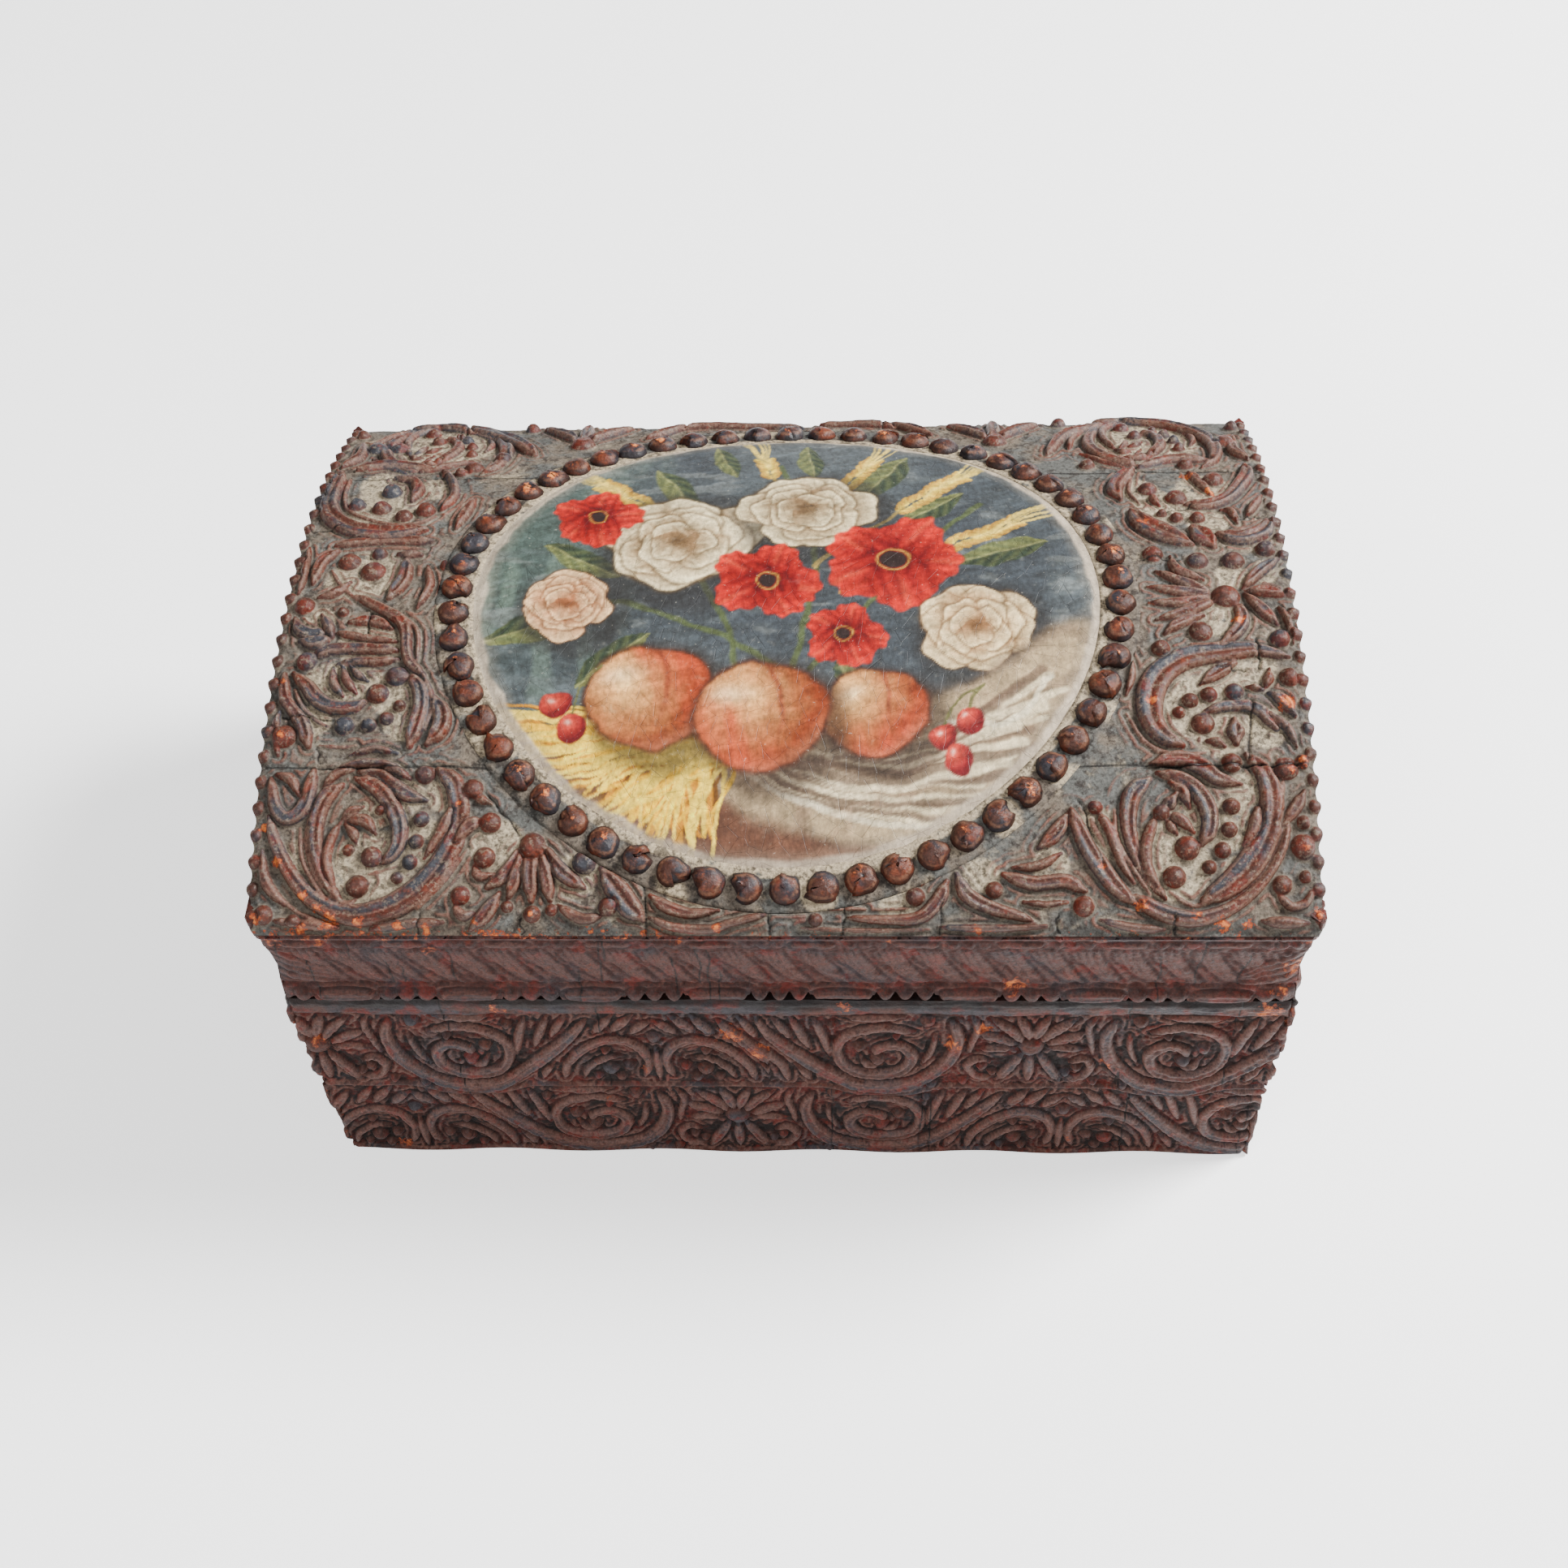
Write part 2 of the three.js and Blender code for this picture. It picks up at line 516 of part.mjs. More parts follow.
// Ornament over the vault, read on the vault: across from the middle, and along the bend from the crown
const cornerScroll = {
  lines: [
    [[10, 14.5, 1.2], [14.2, 7, 2.8], [12.5, -4, 3.4], [3, -13, 3.6], [-10, -14.5, 1.6]],
    [[-3, 13.5, 1.6], [-12, 6, 2.4], [-6.5, -12.5, 1.4]],
    [[-6, 10, 1.2], [3, 3, 2.2], [-1.6, -4.4, 1.4]],
  ],
  beads: [[6.6, 3.6, 1.8], [-4.3, -9.3, 1.9]],
};
const lidDesign = {
  front: together(moved(cornerScroll, [78, -55]), moved(cornerScroll, [-75.6, -57.2]), {
    lines: [
      [[56, -50, 1], [61, -62, 2], [70, -69.5, 1.4]],
      [[-97, -55, 1.4], [-92.5, -66, 2], [-85, -70, 1.2]],
      [[-57, -52, 1.6], [-64, -62, 3.2], [-74, -70, 2]],
      [[-28, -68, 1], [-18, -70.5, 1.4], [-8, -70.5, 1]],
      [[33, -63, 1.2], [37, -68.5, 2], [44, -70.5, 1.2]],
      [[44, -61.5, 1.4], [53, -64.5, 2], [58, -69.5, 1.2]],
      ...petals([-47, -58], [[-57, -69], [-47, -71.5], [-37, -69]], 3),
      ...petals([-35, -61], [[-27, -70.5]], 4),
    ],
    beads: [[96, -45, 2], [-47, -57.5, 2.6], [-37, -61, 1.9]],
  }),
  left: {
    lines: [
      [[-93, 9, 1], [-89, -1, 1.6], [-78, -8, 1.8], [-74.5, -19, 1]],
      [[-77, 7, 1.6], [-78.5, -1, 2], [-84, -2.5, 1.2]],
      [[-98, -22, 1.6], [-94.5, -31, 2.2], [-90, -36.5, 1.4]],
      [[-95, -21, 1.6], [-87, -29.5, 2.2], [-79, -27, 1.4]],
      [[-98, 13.4, 1.4], [-86, 12.4, 2.4], [-74, 12.8, 1.4]],
      [[-74, 35, 1.4], [-70.8, 27, 2.2], [-74.5, 20, 1.2]],
      [[-74, -21, 1.6], [-70.8, -28, 2.4], [-72.5, -36, 1.4]],
      [[-96, 38, 1.4], [-97, 26, 2.8], [-88, 19, 3], [-74, 17, 1.6]],
      [[-94, 39, 1.4], [-83, 37.5, 2.2], [-78, 28, 1.2]],
      ...petals([-76, -13.5], [[-89, -8], [-95, -13.5], [-94, -19]], 2.8),
      ...petals([-87, -4], [[-96, -2]], 2.6),
    ],
    beads: [[-84, 4, 2.2], [-90, 8, 2], [-86, 28, 2.3], [-80, 22.5, 2.1], [-83, -34, 1.9], [-96.5, -36, 2.1]],
  },
  right: {
    lines: [
      [[99, -18, 1.4], [84, -17.5, 3], [71.5, -29, 3.6], [75, -37, 1.6]],
      [[80.5, -31.5, 1.2], [86, -30.2, 1.8], [91, -34, 1.2]],
      [[92, -19, 1.2], [86, -21, 2.4], [80.5, -24.5, 1.2]],
      [[69.5, 24, 1.4], [77, 13.6, 3.4], [91, 12.6, 3.2], [99, 18, 1.6]],
      [[71, 30, 1.4], [76, 38.6, 2.2]],
      [[97, 25, 1.4], [98, 33, 2.2], [93, 39, 1.4]],
      [[79.5, 30, 1.4], [85, 23.2, 2], [93, 33, 1.2]],
      ...petals([86, -2], [[75, 4.4], [72.5, -1], [74, -8], [79, -13.5]], 2.8),
      ...petals([90.5, -1], [[98.5, 6], [100, -1], [96.5, -10]], 2.8),
      ...petals([89, -5], [[89, -13]], 3),
    ],
    beads: [[81, -33.5, 1.9], [87, -2.5, 2.8], [85.5, 33, 1.9], [82.5, 6.5, 1.9], [90.5, 6.5, 1.9],
      [78, 20, 1.6]],
  },
  back: together(moved(cornerScroll, [78, 57], [1, -1]), moved(cornerScroll, [-78, 57], [1, -1]), {
    lines: [
      [[-57, 52, 1.6], [-64, 62, 3.2], [-74, 70, 2]],
      [[56, 50, 1], [61, 62, 2], [70, 69.5, 1.4]],
      [[28, 68, 1], [12, 70, 1.4], [-4, 69, 1]],
      ...petals([-47, 58], [[-57, 69], [-47, 71], [-37, 69]], 3),
      ...petals([45, 59], [[36, 69], [45, 71], [54, 69]], 3),
    ],
    beads: [[-47, 57.5, 2.6], [45, 58.5, 2.4]],
  }),
};
const oval = (margin) => upright(ellipse(ovalHalfWidth + margin, ovalHalfDepth + margin), 0, farAway);
const ringHole = oval(ringWidth + glueLine);
const sheetJointAt = halfLid.y - sheetJointFromEdge;
const sheetY = {
  front: [-halfLid.y, -sheetJointAt], left: [-sheetJointAt + joint, sheetJointAt - joint],
  right: [-sheetJointAt + joint, sheetJointAt - joint], back: [sheetJointAt, halfLid.y],
};
const sheetX = {
  front: [-halfLid.x, halfLid.x], left: [-halfLid.x, -joint],
  right: [joint, halfLid.x], back: [-halfLid.x, halfLid.x],
};
const readOn = { x: halfLid.x / 102, y: halfLid.y / 70 };
const onVault = (across, along, radius) => {
  const angle = along * readOn.y / vaultRadius;
  const height = vaultCentreZ + radius * Math.cos(angle);
  return new THREE.Vector3(across * readOn.x, radius * Math.sin(angle), height);
};
const sheetFoot = sheetUnderside + sheetGround / 3;
const sheetLevels = { foot: sheetFoot, ground: sheetUnderside + sheetGround, top: vaultRadius };
const ground = vaultSlab(sheetUnderside, sheetLevels.ground, halfLid.y, sheetX.front);
const belowSheet = underVault(sheetUnderside);
for (const { name } of sides) {
  const raised = ornament(lidDesign[name], onVault, sheetLevels);
  const sheet = join(ground, ...raised).intersect(block(sheetX[name], sheetY[name], [0, farAway]));
  addPart(`lid_ornament_${name}`, cut(sheet, ringHole, belowSheet), lidOrnament);
}

// The ring of beads, and the painted panel inside it
const ringTop = sheetUnderside + ringThickness;
const ringSlab = vaultSlab(sheetUnderside, ringTop, halfLid.y, sheetX.front);
const ringStrip = cut(ringSlab.intersect(oval(ringWidth)), oval(glueLine));
const ringLevels = { ground: ringTop, top: ringTop + beadRise };
const onRing = (across, y, radius) => {
  const tilt = Math.asin(y / ringTop);
  return new THREE.Vector3(across, radius * Math.sin(tilt), vaultCentreZ + radius * Math.cos(tilt));
};
const ringBeads = Array.from({ length: beadCount }, (_, i) => {
  const angle = 2 * Math.PI * i / beadCount;
  const x = (ovalHalfWidth + ringWidth / 2) * Math.cos(angle);
  const y = (ovalHalfDepth + ringWidth / 2) * Math.sin(angle) + ovalShift;
  return bead(x, y, beadRadius, onRing, ringLevels);
});
addPart('bead_ring', cut(join(ringStrip, ...ringBeads), belowSheet), beadFinish);
const paintedTop = sheetUnderside + paintedPanelThickness;
const paintedSlab = vaultSlab(sheetUnderside, paintedTop, halfLid.y, sheetX.front);
addPart('painted_panel', paintedSlab.intersect(oval(0)), paintedWood);

// Butt hinges: the case leaf carries the outer knuckles, the lid leaf the middle one
const knuckles = {
  case: [[-hingeLength / 2, -middleKnuckle / 2 - knuckleGap],
    [middleKnuckle / 2 + knuckleGap, hingeLength / 2]],
  lid: [[-middleKnuckle / 2, middleKnuckle / 2]],
};
function hingeLeaf(at, upOrDown, own, others) {
  const near = upOrDown * leafGap / 2;
  const far = upOrDown * (leafGap / 2 + leafThickness);
  const plate = block([at - hingeLength / 2, at + hingeLength / 2], [hingeAxis.y - leafWidth, hingeAxis.y],
    [hingeAxis.z + Math.min(near, far), hingeAxis.z + Math.max(near, far)]);
  const room = others.map(([x0, x1]) => rod(
    barrelRadius + knuckleGap, at + x0 - knuckleGap, at + x1 + knuckleGap, hingeAxis.y, hingeAxis.z));
  const rolls = own.map(([x0, x1]) => rod(barrelRadius, at + x0, at + x1, hingeAxis.y, hingeAxis.z));
  const bore = rod(pinRadius + pinClearance, at - hingeLength, at + hingeLength, hingeAxis.y, hingeAxis.z);
  const sinks = [-1, 1].map((aside) => screwBody(at + aside * screwSpacing / 2, upOrDown, screwClearance));
  return cut(join(cut(plate, ...room), ...rolls), bore, ...sinks);
}

// A countersunk screw, or with a margin the room that it needs in the leaf
function screwBody(x, upOrDown, margin) {
  const head = screwHeadRadius + margin;
  const shank = screwShankRadius + margin;
  const tip = screwLength + margin;
  const profile = [[0, tip], [shank, screwLength], [shank, leafThickness], [head, 0], [0, 0]];
  const corners = profile.map(([radius, depth]) => new THREE.Vector2(radius, -depth));
  const geometry = new THREE.LatheGeometry(corners, screwFacets);
  geometry.rotateX(upOrDown > 0 ? -Math.PI / 2 : Math.PI / 2);
  return solid(geometry.translate(x, screwLine, hingeAxis.z + upOrDown * leafGap / 2));
}

for (const [at, name] of [[-hingeOffset, 'right'], [hingeOffset, 'left']]) {
  addPart(`hinge_case_leaf_${name}`, hingeLeaf(at, -1, knuckles.case, knuckles.lid), brass);
  addPart(`hinge_lid_leaf_${name}`, hingeLeaf(at, 1, knuckles.lid, knuckles.case), brass);
  const heads = [-1, 1].map((end) => {
    const inner = at + end * (hingeLength / 2 + 0.05);
    const outer = inner + end * pinHeadThickness;
    return rod(pinHeadRadius, Math.min(inner, outer), Math.max(inner, outer), hingeAxis.y, hingeAxis.z);
  });
  const reach = hingeLength / 2 + pinHeadThickness / 2;
  const pin = rod(pinRadius, at - reach, at + reach, hingeAxis.y, hingeAxis.z);
  addPart(`hinge_pin_${name}`, join(pin, ...heads), brass);
  for (const [aside, which] of [[-1, 'a'], [1, 'b']]) {
    const x = at + aside * screwSpacing / 2;
    addPart(`case_screw_${name}_${which}`, screwBody(x, -1, 0), brass);
    addPart(`lid_screw_${name}_${which}`, screwBody(x, 1, 0), brass);
  }
}

export default root;
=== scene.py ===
# The painted casket: pressed ornament, bead ring, painted oval, wood and brass
import bpy
import bmesh
import math
import numpy as np
from mathutils import Matrix, Vector


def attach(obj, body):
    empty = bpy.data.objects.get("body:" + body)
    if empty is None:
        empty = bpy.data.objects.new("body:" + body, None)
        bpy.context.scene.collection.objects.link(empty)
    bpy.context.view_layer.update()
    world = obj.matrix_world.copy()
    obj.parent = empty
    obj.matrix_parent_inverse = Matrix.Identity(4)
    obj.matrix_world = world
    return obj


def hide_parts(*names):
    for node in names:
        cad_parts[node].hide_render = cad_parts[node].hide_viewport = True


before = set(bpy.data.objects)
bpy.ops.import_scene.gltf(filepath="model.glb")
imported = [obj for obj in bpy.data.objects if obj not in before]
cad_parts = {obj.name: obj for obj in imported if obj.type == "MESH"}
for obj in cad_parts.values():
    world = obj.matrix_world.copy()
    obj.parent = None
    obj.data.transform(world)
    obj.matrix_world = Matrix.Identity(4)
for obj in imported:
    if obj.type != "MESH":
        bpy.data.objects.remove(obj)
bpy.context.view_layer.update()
print("frame loaded")

camera = {"place": (16.43, -276.45, 408.78), "down": 52.55, "turn": -3.90, "roll": -3.21, "lens": 46.06}


def makeCamera(settings):
    down, turn, roll = (math.radians(settings[key]) for key in ("down", "turn", "roll"))
    ahead = Vector((math.cos(down) * math.sin(turn), math.cos(down) * math.cos(turn), -math.sin(down)))
    level = Vector((math.cos(turn), -math.sin(turn), 0))
    upright = level.cross(ahead)
    right = math.cos(roll) * level + math.sin(roll) * upright
    up = -math.sin(roll) * level + math.cos(roll) * upright
    data = bpy.data.cameras.new("photo_camera")
    data.lens = settings["lens"]
    data.sensor_width = 36
    data.clip_start = 0.01
    made = bpy.data.objects.new("photo_camera", data)
    place = Vector(settings["place"]) / 1000
    made.matrix_world = Matrix.Translation(place) @ Matrix((right, up, -ahead)).transposed().to_4x4()
    bpy.context.collection.objects.link(made)
    bpy.context.scene.camera = made


makeCamera(camera)


# Numbers that several pieces share, in millimetres

casket = {
    "half": (102.0, 70.0),            # lid, outside
    "caseHalf": (101.8, 69.8),
    "lowerHalf": (101.4, 69.4),
    "vaultRadius": 140.35,
    "vaultCentre": -27.85,
    "sheetThick": 3.0,
    "sheetGround": 0.9,
    "ovalMiddle": -1.0,
    "ovalHalf": (63.2, 57.8),
    "ringWidth": 7.6,
    "gap": 0.3,
}
sheetFoot = casket["vaultRadius"] - casket["sheetThick"]


def ease(low, high, value):
    t = np.clip((value - low) / (high - low), 0, 1)
    return t * t * (3 - 2 * t)


def mottle(u, v, cell, seed, octaves=1):
    total, weight, amount = 0, 0, 1
    for octave in range(octaves):
        table = np.random.default_rng(seed + octave).random((64, 64))
        x, y = u / cell * 2 ** octave, v / cell * 2 ** octave
        i, j = np.floor(x).astype(int), np.floor(y).astype(int)
        fx, fy = ease(0, 1, x - i), ease(0, 1, y - j)
        left = table[i % 64, j % 64] * (1 - fy) + table[i % 64, (j + 1) % 64] * fy
        right = table[(i + 1) % 64, j % 64] * (1 - fy) + table[(i + 1) % 64, (j + 1) % 64] * fy
        total = total + amount * (left * (1 - fx) + right * fx)
        weight += amount
        amount *= 0.5
    return total / weight


# A field is a height map that the ornament is pressed into, like the mould it came from

def newField(low, high, step=0.25, swell=1.0, line=0.3, taper=0.5):
    shape = (int(round((high[1] - low[1]) / step)) + 1, int(round((high[0] - low[0]) / step)) + 1)
    field = {"low": low, "step": step, "swell": swell, "echo": 3.4, "fine": line, "taper": taper,
             "away": np.full(shape, 9.0), "off": np.full(shape, 9.0)}
    for layer in ("rise", "line", "cool", "worn", "crack", "pale", "shade"):
        field[layer] = np.zeros(shape)
    return field


def windowOf(field, lowU, highU, lowV, highV):
    rows, columns = field["rise"].shape
    step = field["step"]
    c0, c1 = (int(np.clip((u - field["low"][0]) / step, 0, columns)) for u in (lowU, highU + 2 * step))
    r0, r1 = (int(np.clip((v - field["low"][1]) / step, 0, rows)) for v in (lowV, highV + 2 * step))
    u = field["low"][0] + step * np.arange(c0, c1)
    v = field["low"][1] + step * np.arange(r0, r1)
    return (slice(r0, r1), slice(c0, c1)), u[None, :], v[:, None]


def curveThrough(points, spacing=0.3):
    if len(points) == 2:
        points = np.array([points[0], (points[0] + points[1]) / 2, points[1]])
    ends = np.vstack([2 * points[0] - points[1], points, 2 * points[-1] - points[-2]])
    found = []
    for a, b, c, d in zip(ends, ends[1:], ends[2:], ends[3:]):
        count = max(2, int(np.hypot(*(c - b)[:2]) / spacing))
        t = np.linspace(0, 1, count, endpoint=False)[:, None]
        found.append(b + 0.5 * ((c - a) * t + (2 * a - 5 * b + 4 * c - d) * t ** 2
                                + (3 * b - a - 3 * c + d) * t ** 3))
    found.append(points[-1:])
    return np.vstack(found)


def placed(coords, at, flip):
    return np.array(coords, float).reshape(-1, 2) * flip + at


stroke = {
    "spacing": 0.4,          # between the samples along a stroke
    "taperLength": 2.4,
    "thinnest": 0.6,
    "hollowedFrom": 2.2,     # wider strokes are hollowed along the middle
    "hollow": 0.38,
    "cut": 0.75,             # how deep the edge is cut into what lies under
    "threadCut": 0.2,
    "cutOff": 0.25,
    "cutWide": 0.3,
    "edgeIn": 0.4,           # where the fine raised line runs inside the edge
}


def press(field, widths, *coords, at=(0, 0), flip=(1, 1), lift=1.0, groove=None, thread=False):
    # one stroke of the carver: a smooth line with a width along it, cut in at its edge,
    # with a fine raised line inside that edge
    points = placed(coords, at, flip)
    along = np.linspace(0, 1, len(points))
    width = np.interp(along, np.linspace(0, 1, len(widths)), widths)
    samples = curveThrough(np.column_stack([points, width * field["swell"]]), stroke["spacing"])
    gone = np.concatenate([[0], np.cumsum(np.hypot(*np.diff(samples[:, :2], axis=0).T))])
    fromEnd = np.minimum(gone, gone[-1] - gone)
    samples[:, 2] *= 1 - field["taper"] * (1 - ease(0, stroke["taperLength"], fromEnd))
    pad = samples[:, 2].max() / 2 + field["echo"]
    low, high = samples[:, :2].min(0) - pad, samples[:, :2].max(0) + pad
    window, u, v = windowOf(field, low[0], high[0], low[1], high[1])
    if u.size == 0 or v.size == 0:
        return
    far = (u[..., None] - samples[:, 0]) ** 2 + (v[..., None] - samples[:, 1]) ** 2
    near = far.argmin(-1)
    reach = np.maximum(samples[:, 2], stroke["thinnest"])[near] / 2
    far = np.sqrt(np.take_along_axis(far, near[..., None], -1)[..., 0])
    edge = far - reach
    ahead = np.gradient(samples[:, :2], axis=0)[near]
    ahead /= np.linalg.norm(ahead, axis=-1, keepdims=True) + 1e-9
    side = (u - samples[near, 0]) * ahead[..., 1] - (v - samples[near, 1]) * ahead[..., 0]
    cool = ease(-0.1, 0.5, side) * ease(2.2, 3.2, 2 * reach)
    field["cool"][window] = np.where(edge < 0.1, cool, field["cool"][window])
    for key in ("away", "off"):
        field[key][window] = np.minimum(field[key][window], edge)
    q = (far / reach) ** 2
    body = np.sqrt(np.clip(1 - q, 0, None)) ** 0.55
    if groove is None:
        groove = stroke["hollow"] if samples[:, 2].max() > stroke["hollowedFrom"] else 0
    body = body * (1 - groove * np.exp(-q / 0.1) * ease(1.6, 2.8, 2 * reach))
    rise = lift * np.minimum(1, 0.5 + 0.32 * reach) * body
    depth = stroke["threadCut"] if thread else stroke["cut"]
    cut = 1 - depth * np.exp(-((edge - stroke["cutOff"]) / stroke["cutWide"]) ** 2)
    field["rise"][window] = np.maximum(field["rise"][window] * cut, rise)
    if thread:
        line = np.exp(-(far / stroke["edgeIn"]) ** 2)
    else:
        line = np.exp(-((edge + stroke["edgeIn"]) / field["fine"]) ** 2) * ease(0.7, 1.6, 2 * reach)
        line = np.maximum(line, 0.75 * np.exp(-(far / field["fine"]) ** 2) * ease(2.4, 3.4, 2 * reach))
    field["line"][window] = np.maximum(field["line"][window] * ease(-0.8, 0, edge), line)


def dot(field, u0, v0, radius, at=(0, 0), flip=(1, 1), lift=1.0, layer="rise"):
    (u0, v0), = placed((u0, v0), at, flip)
    pad = radius + field["echo"] * (layer == "rise")
    window, u, v = windowOf(field, u0 - pad, u0 + pad, v0 - pad, v0 + pad)
    far = np.hypot(u - u0, v - v0)
    value = np.clip(1 - (far / radius) ** 2, 0, None)
    if layer == "rise":
        value = min(1, 0.6 + 0.22 * radius) * np.sqrt(value)
        field["off"][window] = np.minimum(field["off"][window], far - radius)
        field["line"][window] *= ease(0, 0.4, far - radius)
        field["rise"][window] *= 1 - 0.7 * np.exp(-((far - radius - 0.2) / 0.3) ** 2)
    field[layer][window] = np.maximum(field[layer][window], lift * value)


def cracks(field, lines, seed, width=0.45):
    # thin cracks across the old ornament, wandering a little
    for number, (u0, v0, u1, v1) in enumerate(lines):
        draw = np.random.default_rng(seed + number)
        steps = 6
        along = np.linspace(0, 1, steps)
        wander = draw.normal(0, 0.22, (steps, 2))
        points = np.column_stack([u0 + (u1 - u0) * along, v0 + (v1 - v0) * along]) + wander
        samples = curveThrough(np.column_stack([points, np.full(steps, width)]))
        low, high = samples[:, :2].min(0) - 1, samples[:, :2].max(0) + 1
        window, u, v = windowOf(field, low[0], high[0], low[1], high[1])
        far = ((u[..., None] - samples[:, 0]) ** 2 + (v[..., None] - samples[:, 1]) ** 2).min(-1)
        line = np.clip(1 - np.sqrt(far) / width, 0, 1)
        field["crack"][window] = np.maximum(field["crack"][window], line)


def stampAll(field, design, at=(0, 0), flip=(1, 1)):
    for widths, *coords in design["strokes"]:
        press(field, widths, *coords, at=at, flip=flip)
    for widths, *coords in design.get("threads", ()):
        press(field, widths, *coords, at=at, flip=flip, lift=0.75, groove=0, thread=True)
    for key, layer in (("beads", "rise"), ("worn", "worn"), ("pale", "pale"), ("shade", "shade")):
        for u, v, radius in design.get(key, ()):
            dot(field, u, v, radius, at=at, flip=flip, layer=layer)


def softened(values, cells):
    # a running mean, twice along each axis
    width = 2 * cells + 1
    for axis in (0, 0, 1, 1):
        padded = np.pad(values, [(cells + 1, cells) if a == axis else (0, 0) for a in (0, 1)], mode="edge")
        running = np.cumsum(padded, axis=axis)
        if axis == 0:
            values = (running[width:] - running[:-width]) / width
        else:
            values = (running[:, width:] - running[:, :-width]) / width
    return values


def finishField(field, outlines=(), reach=0.9):
    # thin lines follow every stroke at the distances given, and painted shade gathers where the surface
    # lies low
    u = field["low"][0] + field["step"] * np.arange(field["rise"].shape[1])[None, :]
    v = field["low"][1] + field["step"] * np.arange(field["rise"].shape[0])[:, None]
    for number, (distance, height) in enumerate(outlines):
        line = np.exp(-((field["away"] - distance) / 0.4) ** 2) * ease(0.3, 0.8, field["off"])
        broken = ease(0.2, 0.5, mottle(u + 400, v + 400, 3.2, 30 + number, 2))
        field["rise"] = np.maximum(field["rise"], height * line * broken)
        field["line"] = np.maximum(field["line"], 0.65 * line * broken)
    field["foot"] = np.exp(-(np.clip(field["off"], 0, None) / 0.5) ** 2)
    field["rise"] = softened(field["rise"], 1) * 0.5 + field["rise"] * 0.5
    around = softened(field["rise"], int(round(reach / field["step"])))
    field["hollow"] = np.clip((around - field["rise"]) * 3, 0, 1)
    # the ridge layer, fine lines and places higher than around them, takes a lighter colour that is partly
    # painted highlight
    field["ridge"] = np.clip(field["line"] + 0.3 * (field["rise"] - around), 0, 1)


def look(field, layer, u, v):
    rows, columns = field[layer].shape
    x = np.clip((u - field["low"][0]) / field["step"], 0, columns - 1.001)
    y = np.clip((v - field["low"][1]) / field["step"], 0, rows - 1.001)
    i, j = x.astype(int), y.astype(int)
    fx, fy = x - i, y - j
    values = field[layer]
    lower = values[j, i] * (1 - fx) + values[j, i + 1] * fx
    upper = values[j + 1, i] * (1 - fx) + values[j + 1, i + 1] * fx
    return lower * (1 - fy) + upper * fy


def readField(field, u, v):
    return {layer: look(field, layer, u, v) for layer in layerNames}


layerNames = ("rise", "hollow", "ridge", "foot", "worn", "crack", "pale", "shade", "cool")


# Meshes: a flat grid with walls and a floor, then bent into place by a formula

def slabMesh(columns, rows, floorStrips=0):
    bm = bmesh.new()
    bmesh.ops.create_grid(bm, x_segments=columns, y_segments=rows, size=1)
    rim = [edge for edge in bm.edges if edge.is_boundary]
    for edge in rim:
        edge.smooth = False
    grown = bmesh.ops.extrude_edge_only(bm, edges=rim)["geom"]
    for part in grown:
        if isinstance(part, bmesh.types.BMVert):
            part.co.z = -1
    foot = [part for part in grown if isinstance(part, bmesh.types.BMEdge) and part.is_boundary]
    for edge in foot:
        edge.smooth = False
    floor = bmesh.ops.contextual_create(bm, geom=foot)["faces"]
    for strip in range(1, floorStrips):
        height = -1 + 2 * round(rows * strip / floorStrips) / rows
        faces = [face for face in floor if face.is_valid]
        geom = list({part for face in faces for part in (face, *face.edges, *face.verts)})
        bmesh.ops.bisect_plane(bm, geom=geom, dist=1e-5, plane_co=(0, height, -1), plane_no=(0, 1, 0))
        floor = [face for face in bm.faces if all(vert.co.z < -0.5 for vert in face.verts)]
    bmesh.ops.recalc_face_normals(bm, faces=bm.faces)
    return bm


def fitted(name, bm, shape):
    # shape takes the flat grid's coordinates, and gives millimetres and the layers of each point
    mesh = bpy.data.meshes.new(name)
    bm.to_mesh(mesh)
    bm.free()
    flat = np.empty(3 * len(mesh.vertices))
    mesh.vertices.foreach_get("co", flat)
    points, layers = shape(*flat.reshape(-1, 3).T)
    mesh.vertices.foreach_set("co", (points / 1000).ravel())
    for layer, values in layers.items():
        attribute = mesh.attributes.new(layer, "FLOAT", "POINT")
        attribute.data.foreach_set("value", np.broadcast_to(values, len(mesh.vertices)).astype(np.float32))
    mesh.shade_smooth()
    mesh.update()
    return mesh


def addPiece(name, mesh, material, body, slot, *nodes):
    piece = bpy.data.objects.new(name, mesh)
    mesh.materials.append(material)
    bpy.context.collection.objects.link(piece)
    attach(piece, body)
    if nodes:
        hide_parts(*nodes)
    return piece


# Materials

def node(tree, kind, values=None, **settings):
    made = tree.nodes.new(kind)
    for key, value in settings.items():
        setattr(made, key, value)
    for key, value in (values or {}).items():
        if isinstance(value, bpy.types.NodeSocket):
            tree.links.new(value, made.inputs[key])
        else:
            made.inputs[key].default_value = value
    return made


def mixed(tree, factor, first, second, blend="MIX"):
    made = node(tree, "ShaderNodeMix", {0: factor, 6: first, 7: second}, data_type="RGBA", blend_type=blend)
    return made.outputs[2]


def sums(tree, operation, first, second=0.0, third=0.0):
    made = node(tree, "ShaderNodeMath", {0: first, 1: second, 2: third}, operation=operation)
    return made.outputs[0]


def between(tree, value, low, high, start=0.0, end=1.0):
    made = node(tree, "ShaderNodeMapRange", {0: value, 1: low, 2: high, 3: start, 4: end},
                interpolation_type="SMOOTHSTEP")
    return made.outputs[0]


def cloud(tree, vector, scale, detail=4.0, roughness=0.6):
    values = {"Vector": vector, "Scale": scale, "Detail": detail, "Roughness": roughness}
    return node(tree, "ShaderNodeTexNoise", values).outputs["Fac"]


def layerOf(tree, name):
    return node(tree, "ShaderNodeAttribute", attribute_name=name).outputs["Fac"]


